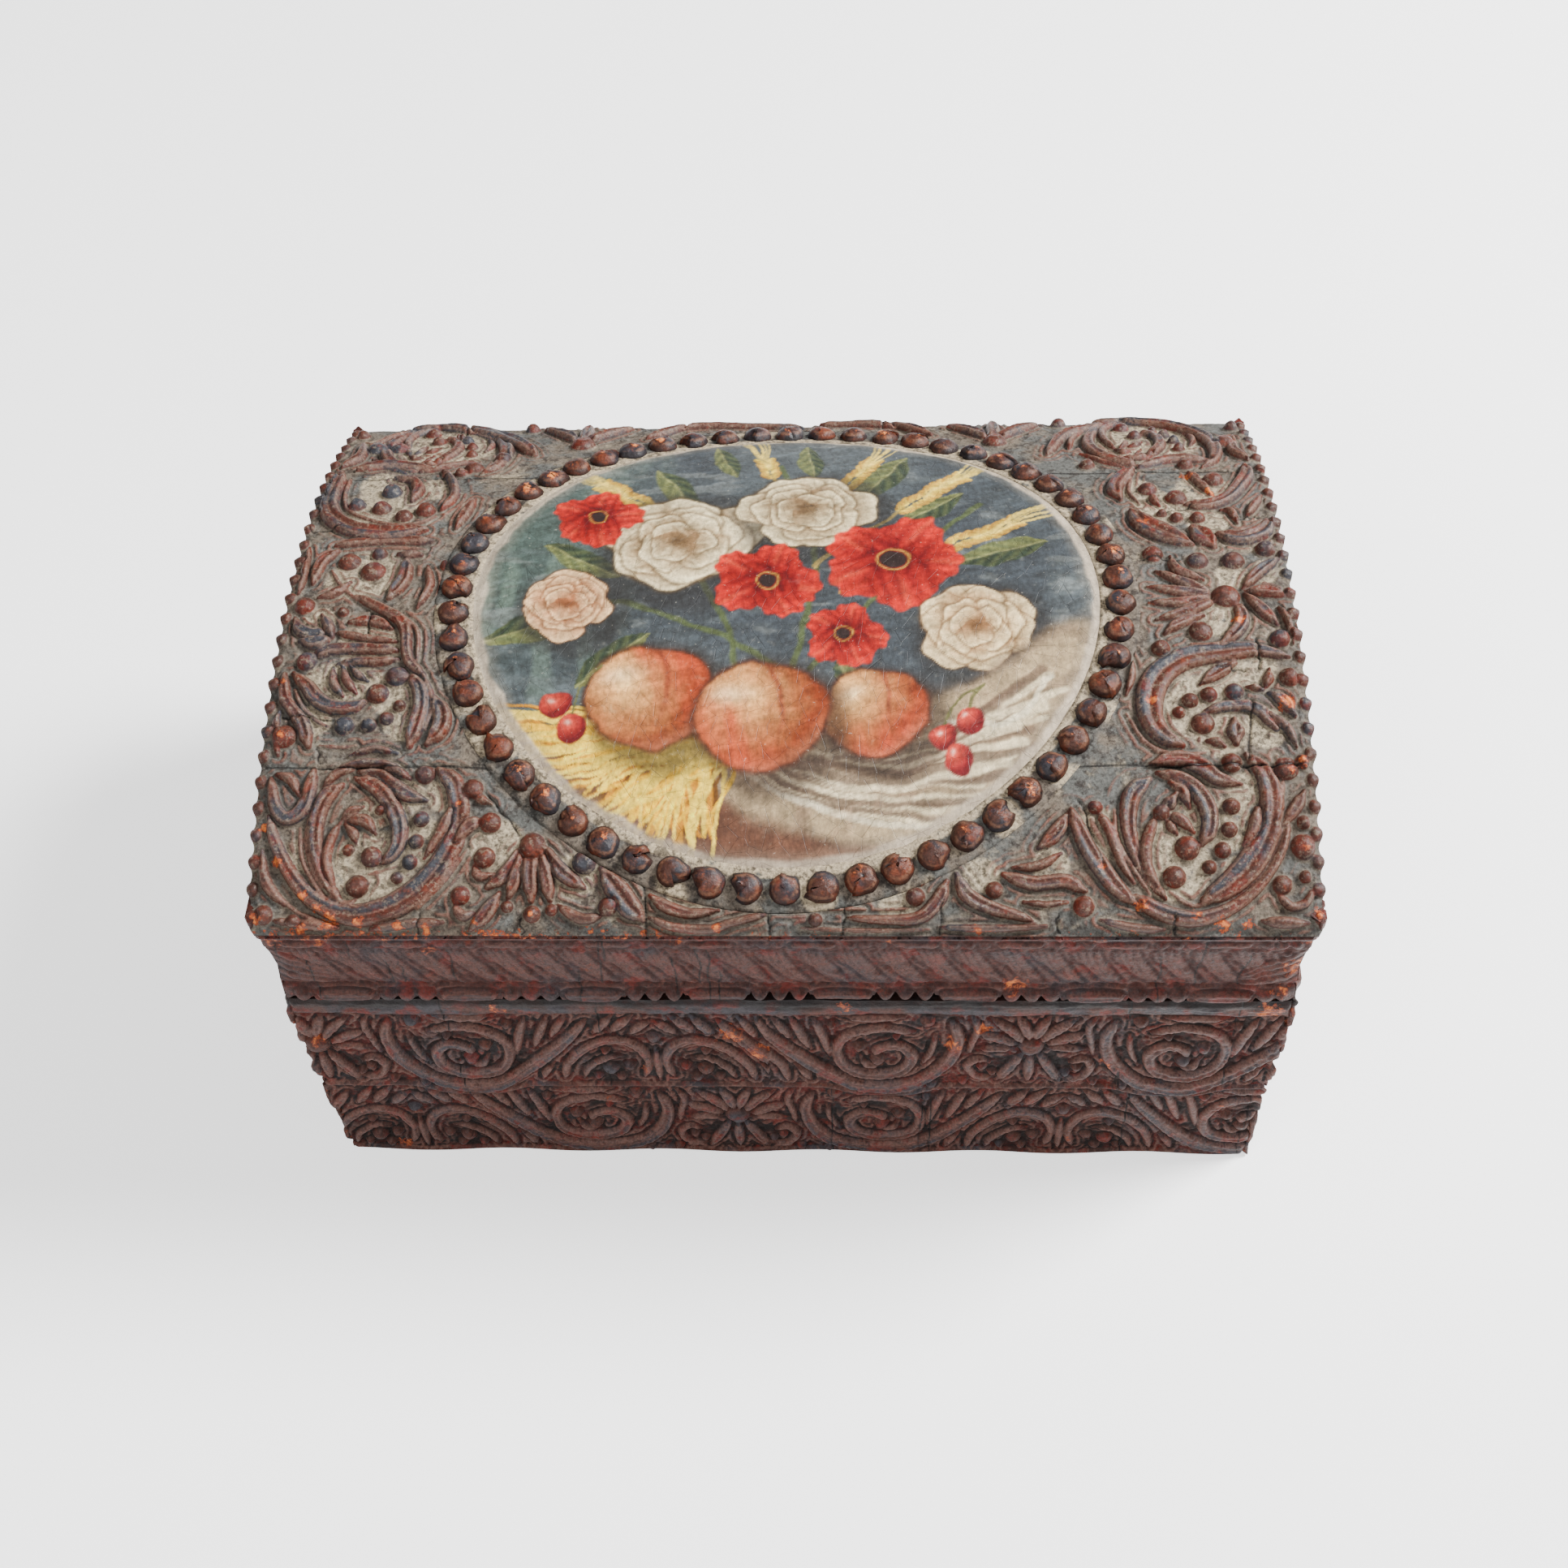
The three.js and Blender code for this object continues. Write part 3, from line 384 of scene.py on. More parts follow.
def srgb(red, green, blue):
    def linear(value):
        value /= 255
        return value / 12.92 if value <= 0.04045 else ((value + 0.055) / 1.055) ** 2.4
    return (linear(red), linear(green), linear(blue), 1)


def newMaterial(name):
    material = bpy.data.materials.new(name)
    material.use_nodes = True
    tree = material.node_tree
    return material, tree, tree.nodes["Principled BSDF"]


def objectPlace(tree):
    return node(tree, "ShaderNodeTexCoord").outputs["Object"]


def stretched(tree, place, scale, turn=0.0):
    values = {"Vector": place, "Scale": scale, "Rotation": (0, 0, turn)}
    return node(tree, "ShaderNodeMapping", values).outputs[0]


def wired(tree, shader, colour, roughness, height, strength, distance):
    bump = node(tree, "ShaderNodeBump", {"Strength": strength, "Distance": distance, "Height": height})
    tree.links.new(colour, shader.inputs["Base Color"])
    tree.links.new(roughness, shader.inputs["Roughness"])
    tree.links.new(bump.outputs["Normal"], shader.inputs["Normal"])


def agedGroup():
    # one group colours all the pressed ornament: ground, body, ridges with painted highlight, dirt and
    # painted shade, slate and red paint, and wear
    group = bpy.data.node_groups.new("aged_ornament", "ShaderNodeTree")
    colours = ("Ground", "Cool ground", "Pale ground", "Foot", "Body", "Red", "Ridge", "Slate", "Wear",
               "Worn edge", "Dirt and shade")
    amounts = ("Foot amount", "Red amount", "Ridge amount", "Slate amount", "Dust amount", "Wear amount",
               "Red in hollows")
    for names, way, kind in ((colours, "INPUT", "Color"), (amounts, "INPUT", "Float"),
                             (("Color",), "OUTPUT", "Color"), (("Roughness", "Height"), "OUTPUT", "Float")):
        for name in names:
            group.interface.new_socket(name, in_out=way, socket_type="NodeSocket" + kind)
    given = group.nodes.new("NodeGroupInput").outputs
    place = objectPlace(group)
    rise, hollow, ridge, foot, worn, crack, pale, shade, cool = (layerOf(group,
                                                                         name) for name in layerNames)
    broad = cloud(group, place, 60, 3)
    patch = cloud(group, place, 140, 4, 0.65)
    chips = cloud(group, place, 420, 4, 0.7)
    fine = cloud(group, place, 1000, 5, 0.7)
    grit = cloud(group, place, 2600, 3, 0.7)

    def times(first, second):
        return sums(group, "MULTIPLY", first, second)

    ground = mixed(group, between(group, cloud(group, place, 110, 3), 0.42, 0.6), given["Ground"],
                   given["Cool ground"])
    light = sums(group, "MAXIMUM", times(between(group, pale, 0.05, 0.4), between(group, chips, 0.3, 0.48)),
                 between(group, patch, 0.58, 0.7, 0, 0.5))
    ground = mixed(group, light, ground, given["Pale ground"])
    ground = mixed(group, times(between(group, cloud(group, place, 170, 3), 0.46, 0.58),
                                given["Red in hollows"]), ground, given["Red"])
    ground = mixed(group, between(group, chips, 0.5, 0.62, 0, 0.7), ground, given["Dirt and shade"])
    footing = times(times(foot, given["Foot amount"]), between(group, patch, 0.38, 0.55, 0.25, 1))
    ground = mixed(group, footing, ground, given["Foot"])
    ground = mixed(group, between(group, fine, 0.5, 0.66, 0, 0.6), ground, given["Dirt and shade"])
    cold = sums(group, "MAXIMUM", between(group, broad, 0.5, 0.62),
                times(cool, between(group, patch, 0.34, 0.5)))
    body = mixed(group, times(cold, given["Slate amount"]), given["Body"], given["Slate"])
    red = times(between(group, cloud(group, place, 190, 3), 0.52, 0.64), given["Red amount"])
    body = mixed(group, red, body, given["Red"])
    body = mixed(group, between(group, chips, 0.5, 0.64, 0, 0.45), body, given["Dirt and shade"])
    warm = between(group, cloud(group, place, 310, 4, 0.7), 0.54, 0.68, 0, 0.3)
    body = mixed(group, warm, body, given["Worn edge"])
    # the Ridge colour on fine raised lines and crests is partly pale dry-brushed paint and partly painted
    # highlight
    crest = times(between(group, ridge, 0.15, 0.7), times(between(group, fine, 0.34, 0.52),
                                                          given["Ridge amount"]))
    body = mixed(group, crest, body, given["Ridge"])
    dust = times(between(group, cloud(group, place, 860, 5, 0.75), 0.52, 0.64), given["Dust amount"])
    body = mixed(group, dust, body, given["Foot"])
    colour = mixed(group, between(group, rise, 0.12, 0.3), ground, body)
    colour = mixed(group, 1.0, colour, between(group, cloud(group, place, 1700, 3, 0.7), 0.32, 0.68, 0.7,
                                               1.3), "MULTIPLY")
    # the hollow and shade layers darken towards the dark colour: painted shade in hollows, recesses, under
    # the lid and at the beads' feet, and the stain at the lid's margins
    colour = mixed(group, sums(group, "MAXIMUM", times(between(group, hollow, 0.15, 0.8), 0.45), shade),
                   colour, given["Dirt and shade"])
    rub = times(between(group, ridge, 0.3, 0.9), between(group, chips, 0.62, 0.7))
    tear = sums(group, "MULTIPLY_ADD", sums(group, "SUBTRACT", cloud(group, place, 700, 4, 0.75), 0.5), 3.6,
                worn)
    tear = sums(group, "MULTIPLY_ADD", sums(group, "SUBTRACT", chips, 0.5), 1.6, tear)
    spot = times(between(group, tear, 0.5, 0.74), between(group, worn, 0.02, 0.14))
    bare = mixed(group, between(group, tear, 0.7, 1.3), given["Worn edge"], given["Wear"])
    colour = mixed(group, sums(group, "MAXIMUM", times(rub, given["Wear amount"]), spot), colour, bare)
    colour = mixed(group, between(group, crack, 0.25, 0.75, 0.0, 0.92), colour, srgb(14, 10, 9))
    shine = between(group, rise, 0.15, 0.6, 0.7, 0.38)
    shine = sums(group, "ADD", shine, between(group, fine, 0.3, 0.7, -0.1, 0.14))
    height = sums(group, "MULTIPLY_ADD", fine, 0.7, times(grit, 0.4))
    height = sums(group, "MULTIPLY_ADD", chips, 0.8, height)
    height = sums(group, "SUBTRACT", height, crack)
    node(group, "NodeGroupOutput", {"Color": colour, "Roughness": shine, "Height": height})
    return group


aged = agedGroup()


dullness = 0.25    # the specular level of paint and ornament


def agedMaterial(name, colours, amounts):
    material, tree, shader = newMaterial(name)
    values = {key: srgb(*value) for key, value in colours.items()}
    made = node(tree, "ShaderNodeGroup", node_tree=aged)
    for key, value in {**values, **amounts}.items():
        made.inputs[key].default_value = value
    colour, roughness, height = (made.outputs[key] for key in ("Color", "Roughness", "Height"))
    wired(tree, shader, colour, roughness, height, 0.5, 0.0005)
    shader.inputs["Specular IOR Level"].default_value = dullness
    return material


lidFinish = agedMaterial("lid_ornament_aged", {
    "Ground": (102, 92, 80), "Cool ground": (84, 84, 80), "Pale ground": (164, 150, 125),
                                               "Foot": (138, 124, 106), "Body": (76, 42, 33),
    "Red": (98, 33, 21), "Ridge": (120, 92, 78), "Slate": (50, 53, 59), "Wear": (202, 116, 60),
                                               "Worn edge": (134, 58, 33), "Dirt and shade": (38, 29, 25),
}, {"Foot amount": 0.5, "Red amount": 0.62, "Ridge amount": 0.58, "Slate amount": 0.95, "Dust amount": 0.45,
    "Wear amount": 0.35, "Red in hollows": 0.0})
caseFinish = agedMaterial("case_ornament_aged", {
    "Ground": (42, 25, 21), "Cool ground": (35, 30, 31), "Pale ground": (62, 42, 35), "Foot": (30, 19, 16),
                                                 "Body": (72, 40, 32),
    "Red": (98, 28, 18), "Ridge": (110, 80, 71), "Slate": (46, 49, 56), "Wear": (194, 106, 54),
                                                 "Worn edge": (112, 50, 31), "Dirt and shade": (19, 13, 11),
}, {"Foot amount": 0.6, "Red amount": 0.8, "Ridge amount": 0.6, "Slate amount": 0.8, "Dust amount": 0.4,
    "Wear amount": 0.5, "Red in hollows": 0.62})
rimFinish = agedMaterial("rim_ornament_aged", {
    "Ground": (40, 23, 19), "Cool ground": (35, 30, 31), "Pale ground": (60, 37, 30), "Foot": (30, 17, 14),
                                               "Body": (62, 30, 24),
    "Red": (94, 27, 18), "Ridge": (92, 58, 49), "Slate": (42, 44, 50), "Wear": (200, 112, 57),
                                               "Worn edge": (114, 52, 32), "Dirt and shade": (21, 14, 12),
}, {"Foot amount": 0.6, "Red amount": 0.8, "Ridge amount": 0.54, "Slate amount": 0.55, "Dust amount": 0.4,
    "Wear amount": 0.6, "Red in hollows": 0.55})
beadFinish = agedMaterial("bead_aged", {
    "Ground": (98, 88, 77), "Cool ground": (82, 82, 78), "Pale ground": (166, 150, 124),
                                        "Foot": (30, 22, 20), "Body": (66, 37, 28),
    "Red": (112, 52, 30), "Ridge": (120, 82, 62), "Slate": (42, 45, 52), "Wear": (222, 140, 78),
                                        "Worn edge": (144, 74, 42), "Dirt and shade": (22, 15, 13),
}, {"Foot amount": 0.3, "Red amount": 0.65, "Ridge amount": 0.6, "Slate amount": 0.85, "Dust amount": 0.2,
    "Wear amount": 0.6, "Red in hollows": 0.0})


def woodMaterial():
    material, tree, shader = newMaterial("bare_wood_aged")
    place = objectPlace(tree)
    values = {"Vector": stretched(tree, place, (1, 9, 9)), "Scale": 9, "Distortion": 7, "Detail": 3,
              "Detail Scale": 1.4}
    rings = node(tree, "ShaderNodeTexWave", values, wave_type="BANDS", bands_direction="Y").outputs["Fac"]
    pores = cloud(tree, stretched(tree, place, (1, 22, 22)), 60, 6, 0.7)
    stain = cloud(tree, place, 28, 4)
    colour = mixed(tree, rings, srgb(138, 92, 56), srgb(100, 62, 38))
    colour = mixed(tree, between(tree, pores, 0.5, 0.8, 0, 0.6), colour, srgb(62, 38, 24))
    colour = mixed(tree, between(tree, stain, 0.5, 0.75, 0, 0.5), colour, srgb(80, 52, 36))
    wired(tree, shader, colour, between(tree, pores, 0.3, 0.7, 0.62, 0.8), pores, 0.25, 0.0003)
    return material


def brassMaterial():
    material, tree, shader = newMaterial("brass_tarnished")
    place = objectPlace(tree)
    tarnish = cloud(tree, place, 320, 5, 0.7)
    scratch = cloud(tree, stretched(tree, place, (1, 30, 1)), 900, 3)
    colour = mixed(tree, between(tree, tarnish, 0.42, 0.65), srgb(176, 138, 70), srgb(96, 72, 40))
    wired(tree, shader, colour, between(tree, tarnish, 0.35, 0.7, 0.3, 0.6), scratch, 0.15, 0.0002)
    shader.inputs["Metallic"].default_value = 1
    return material


woodFinish = woodMaterial()
brassFinish = brassMaterial()
print("materials ready")


# Friezes of the case: a half of the running ornament, mirrored at its knot and at its arch

frieze = {
    "cell": 70.5,
    "high": 30.5,
    "upper": {"half": casket["caseHalf"], "thick": 3.7, "ground": 1.5, "high": 65.8},
    "lower": {"half": casket["lowerHalf"], "thick": 3.3, "ground": 1.3, "low": 0.4},
    "ornamentTop": 61.4,
    "fillet": (59.6, 61.6),
    "leastThick": 0.6,
    "cornerRadius": 2.2,
    "knots": {
        "front": {"upper": ((-400, -98), (-4, 50)), "lower": ((-400, -12),)},
        "right": {"upper": ((-400, -20),), "lower": ((-400, 0),)},
        "back": {"upper": ((-400, -50), (-4, 98)), "lower": ((-400, 12),)},
        "left": {"upper": ((-400, 20),), "lower": ((-400, 0),)},
    },
}
runningCell = {
    "strokes": [
        ((2.2, 3.4, 4.4, 4.6, 4.2, 3.2, 1.8), 16.5, 26.4, 15, 20, 16.5, 12, 21, 5.8, 28, 3, 36, 3.2, 43,
         7.5, 49, 14.5, 54, 21.4,
         57, 26.6),
        ((1.8, 2.6, 3.4, 3, 2), 24, 23, 30.5, 24.8, 37, 22.4, 40, 16, 38, 9.6, 31.5, 7.6, 26, 9.8, 24.4,
         14.6, 27.4, 18.4,
         31.4, 17, 31.6, 13.8),
        ((2, 2.6, 2.6, 2), 50.2, 2.8, 51.8, 9.4, 56.4, 16, 62, 18.8, 66.6, 16.4, 68.8, 10, 67.4, 3.8),
        ((1.6, 2, 1.2), 54.4, 3, 56, 7.6, 60, 11.4, 63.4, 11.6),
        ((1, 2.4, 1.4), 41.4, 13, 42.6, 20, 44.6, 27.4), ((1, 2.4, 1.4), 45.2, 15.4, 47, 21, 49.4, 28),
        ((1, 2.2, 1.2), 49, 19.6, 50.8, 23.6, 53, 28), ((1.2, 2.6, 1.2), 58, 21.4, 60.2, 24.6, 62.6, 28.4),
        ((1.2, 2.6, 1.2), 61.6, 21.8, 64, 25, 66.8, 28.4), ((1.2, 2.4, 1.2), 65.4, 21, 67.8, 24, 70.5,
                                                            26.4),
        ((1.6, 2.8, 1.2), 1.6, 18.6, 4.6, 23.4, 8.6, 27.6), ((1.6, 2.8, 1.4), 0.4, 19.6, 1.6, 24, 3.2,
                                                             28.4),
        ((1.4, 2.6, 1.2), 2.8, 17.4, 7.4, 20.4, 11.6, 22.2), ((1.2, 2, 1), 3, 15.8, 7, 16.4, 11.2, 15.4),
        ((1.8, 2.8, 2), 1.6, 13.8, 4.2, 8, 6.6, 2.8), ((1.6, 2.6, 1.8), 0, 13.4, 0, 8, 0, 2.8),
        ((1.6, 2.2, 1.6), 7, 4.2, 10.8, 4.4, 12.8, 8.4, 10.8, 11.8, 8.2, 10.2),
        ((1.2, 2, 1.2), 12.6, 28.2, 11.2, 24, 12.2, 18, 12.8, 13.4),
                ((1.2, 2, 1.2), 26, 28.4, 32, 28, 38.6, 28.4),
        ((1.2, 2, 1), 70.5, 15.4, 70.5, 8, 70.5, 1.6), ((1.4, 1.8, 1), 30.6, 11, 33.8, 11.2, 35.2, 14.2),
        ((1.2, 1.8, 1), 19.6, 21.6, 20.4, 15.6, 22.4, 10.6),
                ((1.4, 2, 1.2), 45.4, 2.6, 46.6, 5.6, 48.6, 8.8),
    ],
    "beads": [(0, 16.5, 2.7), (9.8, 8.6, 1.3), (60.5, 7.4, 1.9), (64.6, 8.6, 1.4), (62.4, 3.8, 1.3),
              (57.6, 4, 1.1), (60, 14.4, 1.1),
              (21.4, 26.8, 1.6), (35.2, 17.8, 1.5), (40.8, 25.2, 1.2), (31.4, 13.4, 1.7), (7.6, 6.4, 1.1),
              (70.5, 20, 1.6),
              (27.6, 21.4, 0.9), (20, 2, 1.2), (13.6, 2.6, 1.2)],
    "shade": [(60, 8, 9), (10, 9, 4), (20.6, 17, 4.4), (41.6, 11, 3.4), (30, 19, 5), (5, 10, 3),
              (66, 22, 4), (46, 20, 4)],
}


def cellField():
    field = newField((0, 0), (frieze["cell"], frieze["high"]), 0.2, 0.86, 0.42)
    stampAll(field, runningCell)
    finishField(field, ((1.15, 0.42), (2.4, 0.3), (3.6, 0.26)), 0.8)
    field["shade"] = field["shade"] * np.clip(1 - 1.6 * field["rise"], 0, 1)
    return field


caseCell = cellField()
turns = {"front": 0, "right": 1, "back": 2, "left": 3}


def turned(across, out, up, side):
    # the front's plane turned about Z to each side
    angle = turns[side] * math.pi / 2
    cos, sin = round(math.cos(angle)), round(math.sin(angle))
    x, y = across, -out
    return np.column_stack([cos * x - sin * y, sin * x + cos * y, up])


def halves(half, side):
    return (half[0], half[1]) if side in ("front", "back") else (half[1], half[0])


hinge = {"back": 66.5, "up": 66, "slope": math.tan(math.radians(51.5)), "spare": 0.12, "squeezed": 0.02}


def bevelled(points, upwards):
    # behind the hinge line both edges are cut back to a bevel, so that the lid can open
    plane = hinge["up"] + upwards * (hinge["slope"] * (points[:, 1] - hinge["back"]) + hinge["spare"])
    past = (points[:, 1] > hinge["back"]) & (upwards * (points[:, 2] - plane) < 0)
    points[:, 2] = np.where(past, plane + hinge["squeezed"] * (points[:, 2] - plane), points[:, 2])
    return points


def foldedCell(across, knots):
    # where in the half cell each place along the strip lies
    s = np.empty_like(across)
    for start, knot in knots:
        chosen = across >= start
        t = np.mod(np.abs(across - knot), 2 * frieze["cell"])
        s = np.where(chosen, np.where(t <= frieze["cell"], t, 2 * frieze["cell"] - t), s)
    return s


wornFront = {
    "upper": [(96, 63, 4, 1), (-12, 52, 4, 0.9), (-6, 46, 3, 0.9), (34, 49, 3.5, 0.9), (40, 55, 3, 0.9),
              (-58, 62.5, 3, 0.7),
              (12, 63.5, 2.5, 0.6), (-97, 50, 2.5, 0.8), (66, 41, 2, 0.8), (-30, 38, 2, 0.7)],
    "lower": [(-88, 3, 2.5, 0.9), (60, 8, 2, 0.7), (-40, 24, 2, 0.6), (92, 22, 2.2, 0.8)],
}


def mitreAt(halfAcross, face, out):
    # half of the gap at the mitre is taken from each strip
    return halfAcross - (face - out) - casket["gap"] * 0.71


def cornerDrop(across, halfAcross, radius):
    # how far a rounded upright corner falls behind the face
    past = np.clip(np.abs(across) - (halfAcross - radius), 0, radius)
    return radius - np.sqrt(radius ** 2 - past ** 2)


seam = {"high": 30.75, "lobe": 3.4, "lobeAt": 30, "lobeWide": 10, "wander": 0.5, "gap": 0.15}


def seamAt(across, side):
    # the lobes of the upper frieze hang over the lower one
    fold = foldedCell(across, frieze["knots"][side]["upper"])
    lobe = seam["lobe"] * np.exp(-((fold - seam["lobeAt"]) / seam["lobeWide"]) ** 4)
    return seam["high"] - lobe + seam["wander"] * (mottle(across, across * 0, 6, 99) - 0.5)


def wornAt(worn, across, up, places):
    # the places where the finish is worn through, each with its radius and strength
    for x, z, radius, strength in places:
        far = ((across - x) ** 2 + (up - z) ** 2) / radius ** 2
        worn = np.maximum(worn, strength * np.clip(1 - far, 0, 1))
    return worn


def friezeShape(side, band):
    sizes = frieze[band]
    halfAcross, face = halves(sizes["half"], side)
    inner = face - sizes["thick"]
    knots = frieze["knots"][side][band]
    seed = 100 + 10 * turns[side] + (5 if band == "lower" else 0)

    def shape(s, t, flag):
        under = flag < -0.5
        across = s * halfAcross
        wave = 0.5 + 0.5 * np.cos(2 * math.pi * (across - knots[-1][1]) / (frieze["cell"] / 2))
        joint = seamAt(across, side)
        low = joint + seam["gap"] if band == "upper" else sizes["low"] + 1.3 * (1 - wave)
        high = sizes["high"] if band == "upper" else joint - seam["gap"]
        up = low + (high - low) * (t + 1) / 2
        fold = foldedCell(across, knots)
        v = (up - low) * frieze["high"] / (frieze["ornamentTop"]
                                           - low) if band == "upper" else up - sizes["low"]
        layers = readField(caseCell, fold, np.clip(v, 0, frieze["high"]))
        rise = 0.9 * layers["rise"]
        wobble = mottle(across, up, 9, seed, 2) - 0.5
        chased = 1 - np.abs(2 * mottle(across, up * 1.3, 1.7, seed + 3, 2) - 1)
        rise = np.clip(rise * (1 + 0.4 * wobble) + 0.34 * (chased - 0.6) * (1 - 0.5 * rise), 0, 1)
        layers["ridge"] = np.maximum(layers["ridge"], 0.7 * ease(0.86, 0.97, chased) * ease(0.5, 0.2, rise))
        if band == "upper":
            # a plain soft fillet above the ornament, darkened towards the top with painted shade under the
            # lid
            fillet = ease(*frieze["fillet"], up + 1.4 * (mottle(across, up * 0, 9, seed + 4, 2) - 0.5))
            rough = 0.5 + 0.36 * mottle(across * 0.6, up * 3, 3, seed + 5, 3)
            rise = rise * (1 - fillet) + fillet * rough * (1 - 0.4 * ease(64.4, 65.8, up))
            for layer in ("ridge", "hollow"):
                layers[layer] = layers[layer] * (1 - fillet)
            layers["cool"] = np.maximum(layers["cool"], fillet * ease(0.4, 0.6,
                                                                      mottle(across, up * 2, 7, seed + 9,
                                                                             3)))
            drift = 2 * (mottle(across, up * 0, 14, seed + 6) - 0.5)
            layers["shade"] = np.maximum(layers["shade"] * (1 - fillet), 0.85 * ease(62.6, 65, up + drift))
        lip = 1 - ease(0.3, 1.2, up - low)
        rise = np.maximum(rise, 0.55 * lip)
        corner = ease(halfAcross - 2.6, halfAcross - 0.6, np.abs(across))
        rise = rise * (1 - corner) + corner * ease(0.2, 0.75, mottle(up, up * 0, 6, seed + 7, 2))
        rise = np.clip(rise, 0, 1)
        rise[np.abs(rise - rise.max()) < 0.02] = 1
        out = inner + sizes["ground"] + (sizes["thick"] - sizes["ground"]) * rise
        out = out - cornerDrop(across, halfAcross, frieze["cornerRadius"])
        out = np.where(under, inner, np.maximum(out, inner + frieze["leastThick"]))
        limit = mitreAt(halfAcross, face, out)
        across = np.clip(across, -limit, limit)
        layers["rise"] = rise
        worn = wornAt(layers["worn"], across, up, wornFront[band] if side == "front" else ())
        layers["worn"] = np.maximum(worn, 0.5 * corner * mottle(across, up, 5, seed + 8))
        for number in range(9):
            at = -halfAcross + 2 * halfAcross * np.random.default_rng(seed + number).random()
            line = np.abs(across - at - 0.9 * (mottle(up, up * 0, 6, seed + number) - 0.5))
            if number < 5:
                span = ease(0.35, 0.5, mottle(up, up * 0 + number, 11, seed + 20))
                layers["crack"] = np.maximum(layers["crack"], np.clip(1 - line / 0.35, 0, 1) * span)
        return bevelled(turned(across, out, up, side), -1), layers
    return shape


def buildFriezes():
    for side in turns:
        for band in ("upper", "lower"):
            columns = 560 if side in ("front", "back") else 390
            rows = 100 if band == "upper" else 88
            mesh = fitted(f"pressed_{band}_frieze_{side}", slabMesh(columns, rows), friezeShape(side, band))
            addPiece(f"pressed_{band}_frieze_{side}", mesh, caseFinish, "case", "case_ornament",
                     f"{band}_frieze_{side}")


buildFriezes()
print("friezes pressed")


# Moulding round the lid: reels and beads, a hollow band of slanting leaves, and a lip under the vault

rim = {
    "thick": 3.7, "low": 66.2, "high": 93.8,
    "beadStep": 24.8,         # three beads and a reel
    "firstBead": -4.8,
    "beadPitch": 3.9,
    "beadsHigh": 2.2,
    "reelHigh": 2.1,
    "leafPitch": 7.6,
    "slant": 4.4,
    "dashAt": 20.2,
    "dashPitch": 2.9,
    "warp": 1.9,              # how far the moulding has warped upwards in the middle
    "cornerRadius": 3,
    # how thick the moulding is at each height above its lower edge
    "section": ((0.0, 2.3), (0.5, 2.35), (4.6, 2.0), (5.2, 1.5), (6.5, 1.9), (11, 1.35), (16.5, 1.8),
                (17.6, 2.1), (18.2, 2.0),
                (18.9, 2.35), (21.8, 2.35), (22.3, 2.7), (22.9, 3.25), (24.5, 3.4), (27.6, 3.4)),
}


def rimField(half, seed):
    field = newField((-half - 2, 0), (half + 2, 28), 0.22, taper=0.1)
    draw = np.random.default_rng(seed)
    across = rim["firstBead"] - rim["beadStep"] * math.ceil((rim["firstBead"] + half + 8) / rim["beadStep"])
    while across < half + 8:
        for bead in (0, 1, 2):
            dot(field, across + bead * rim["beadPitch"], rim["beadsHigh"], 1.85)
        reel = across + 3 * rim["beadPitch"]
        press(field, (3, 3.4, 3), reel + 0.3, rim["reelHigh"], reel + 4.6, rim["reelHigh"], reel + 9.1,
              rim["reelHigh"], groove=0.25)
        across += rim["beadStep"]
    last = math.floor((half - rim["thick"] - rim["slant"]) / rim["leafPitch"])
    for count in range(-last, last + 1):
        at = count * rim["leafPitch"]
        lean = draw.uniform(-0.4, 0.4)
        for shift, lift in ((-1.5, 0.75), (0, 1), (1.5, 0.8)):
            press(field, (1, 1.6, 1.5, 0.9), at - 2.4 + shift + lean, 18, at - 1 + 0.9 * shift, 13.6,
                  at + 1.5 + 0.8 * shift, 9.4,
                  at + 4.4 + 0.6 * shift, 6.2, lift=lift)
        press(field, (0.8, 1.2, 0.9), at + 2.6 + lean, 17.2, at + 3.6, 14.4, at + 5.6, 11.6, lift=0.8)
        dot(field, at + 5.2 + lean, 16.4, 0.9)
    across = -half - 3
    while across < half + 8:
        for bead in (0, 1, 2):
            dot(field, across + bead * rim["dashPitch"], rim["dashAt"], 1.2, lift=0.9)
        dash = across + 3 * rim["dashPitch"]
        press(field, (1.7, 1.9, 1.7), dash + 0.4, rim["dashAt"], dash + 4, rim["dashAt"], dash + 7.4,
              rim["dashAt"], lift=0.9)
        across = dash + 11
    for number in range(int(half / 6)):
        at = draw.uniform(-half, half)
        low = draw.choice([0.5, 5.5, 14])
        cracks(field, [(at, low, at + draw.uniform(-1, 1), low + draw.uniform(8, 20))], seed + number)
    for end in (-1, 1):
        # a large leaf sweeps back from each corner
        for fall in (0, 2.6, 5.2, 7.8):
            press(field, (1.2, 2, 1), end * (half - 2), 17.4 - fall, end * (half - 7), 13 - fall * 0.7,
                  end * (half - 13), 9 - fall * 0.35)
    finishField(field, ((1.1, 0.3),), 0.7)
    return field


rimWorn = [(45, 72, 3.4, 1), (-89, 88.6, 3.2, 0.9), (-76, 89.4, 2.6, 0.8), (-98, 87, 3, 0.8),
           (99, 78, 4, 0.8), (97, 70, 2.4, 0.8),
           (-68, 84, 2, 0.7), (20, 88, 2.4, 0.5), (-20, 88.8, 3, 0.6), (60, 88.8, 2.4, 0.6),
           (101, 88, 3, 0.9)]


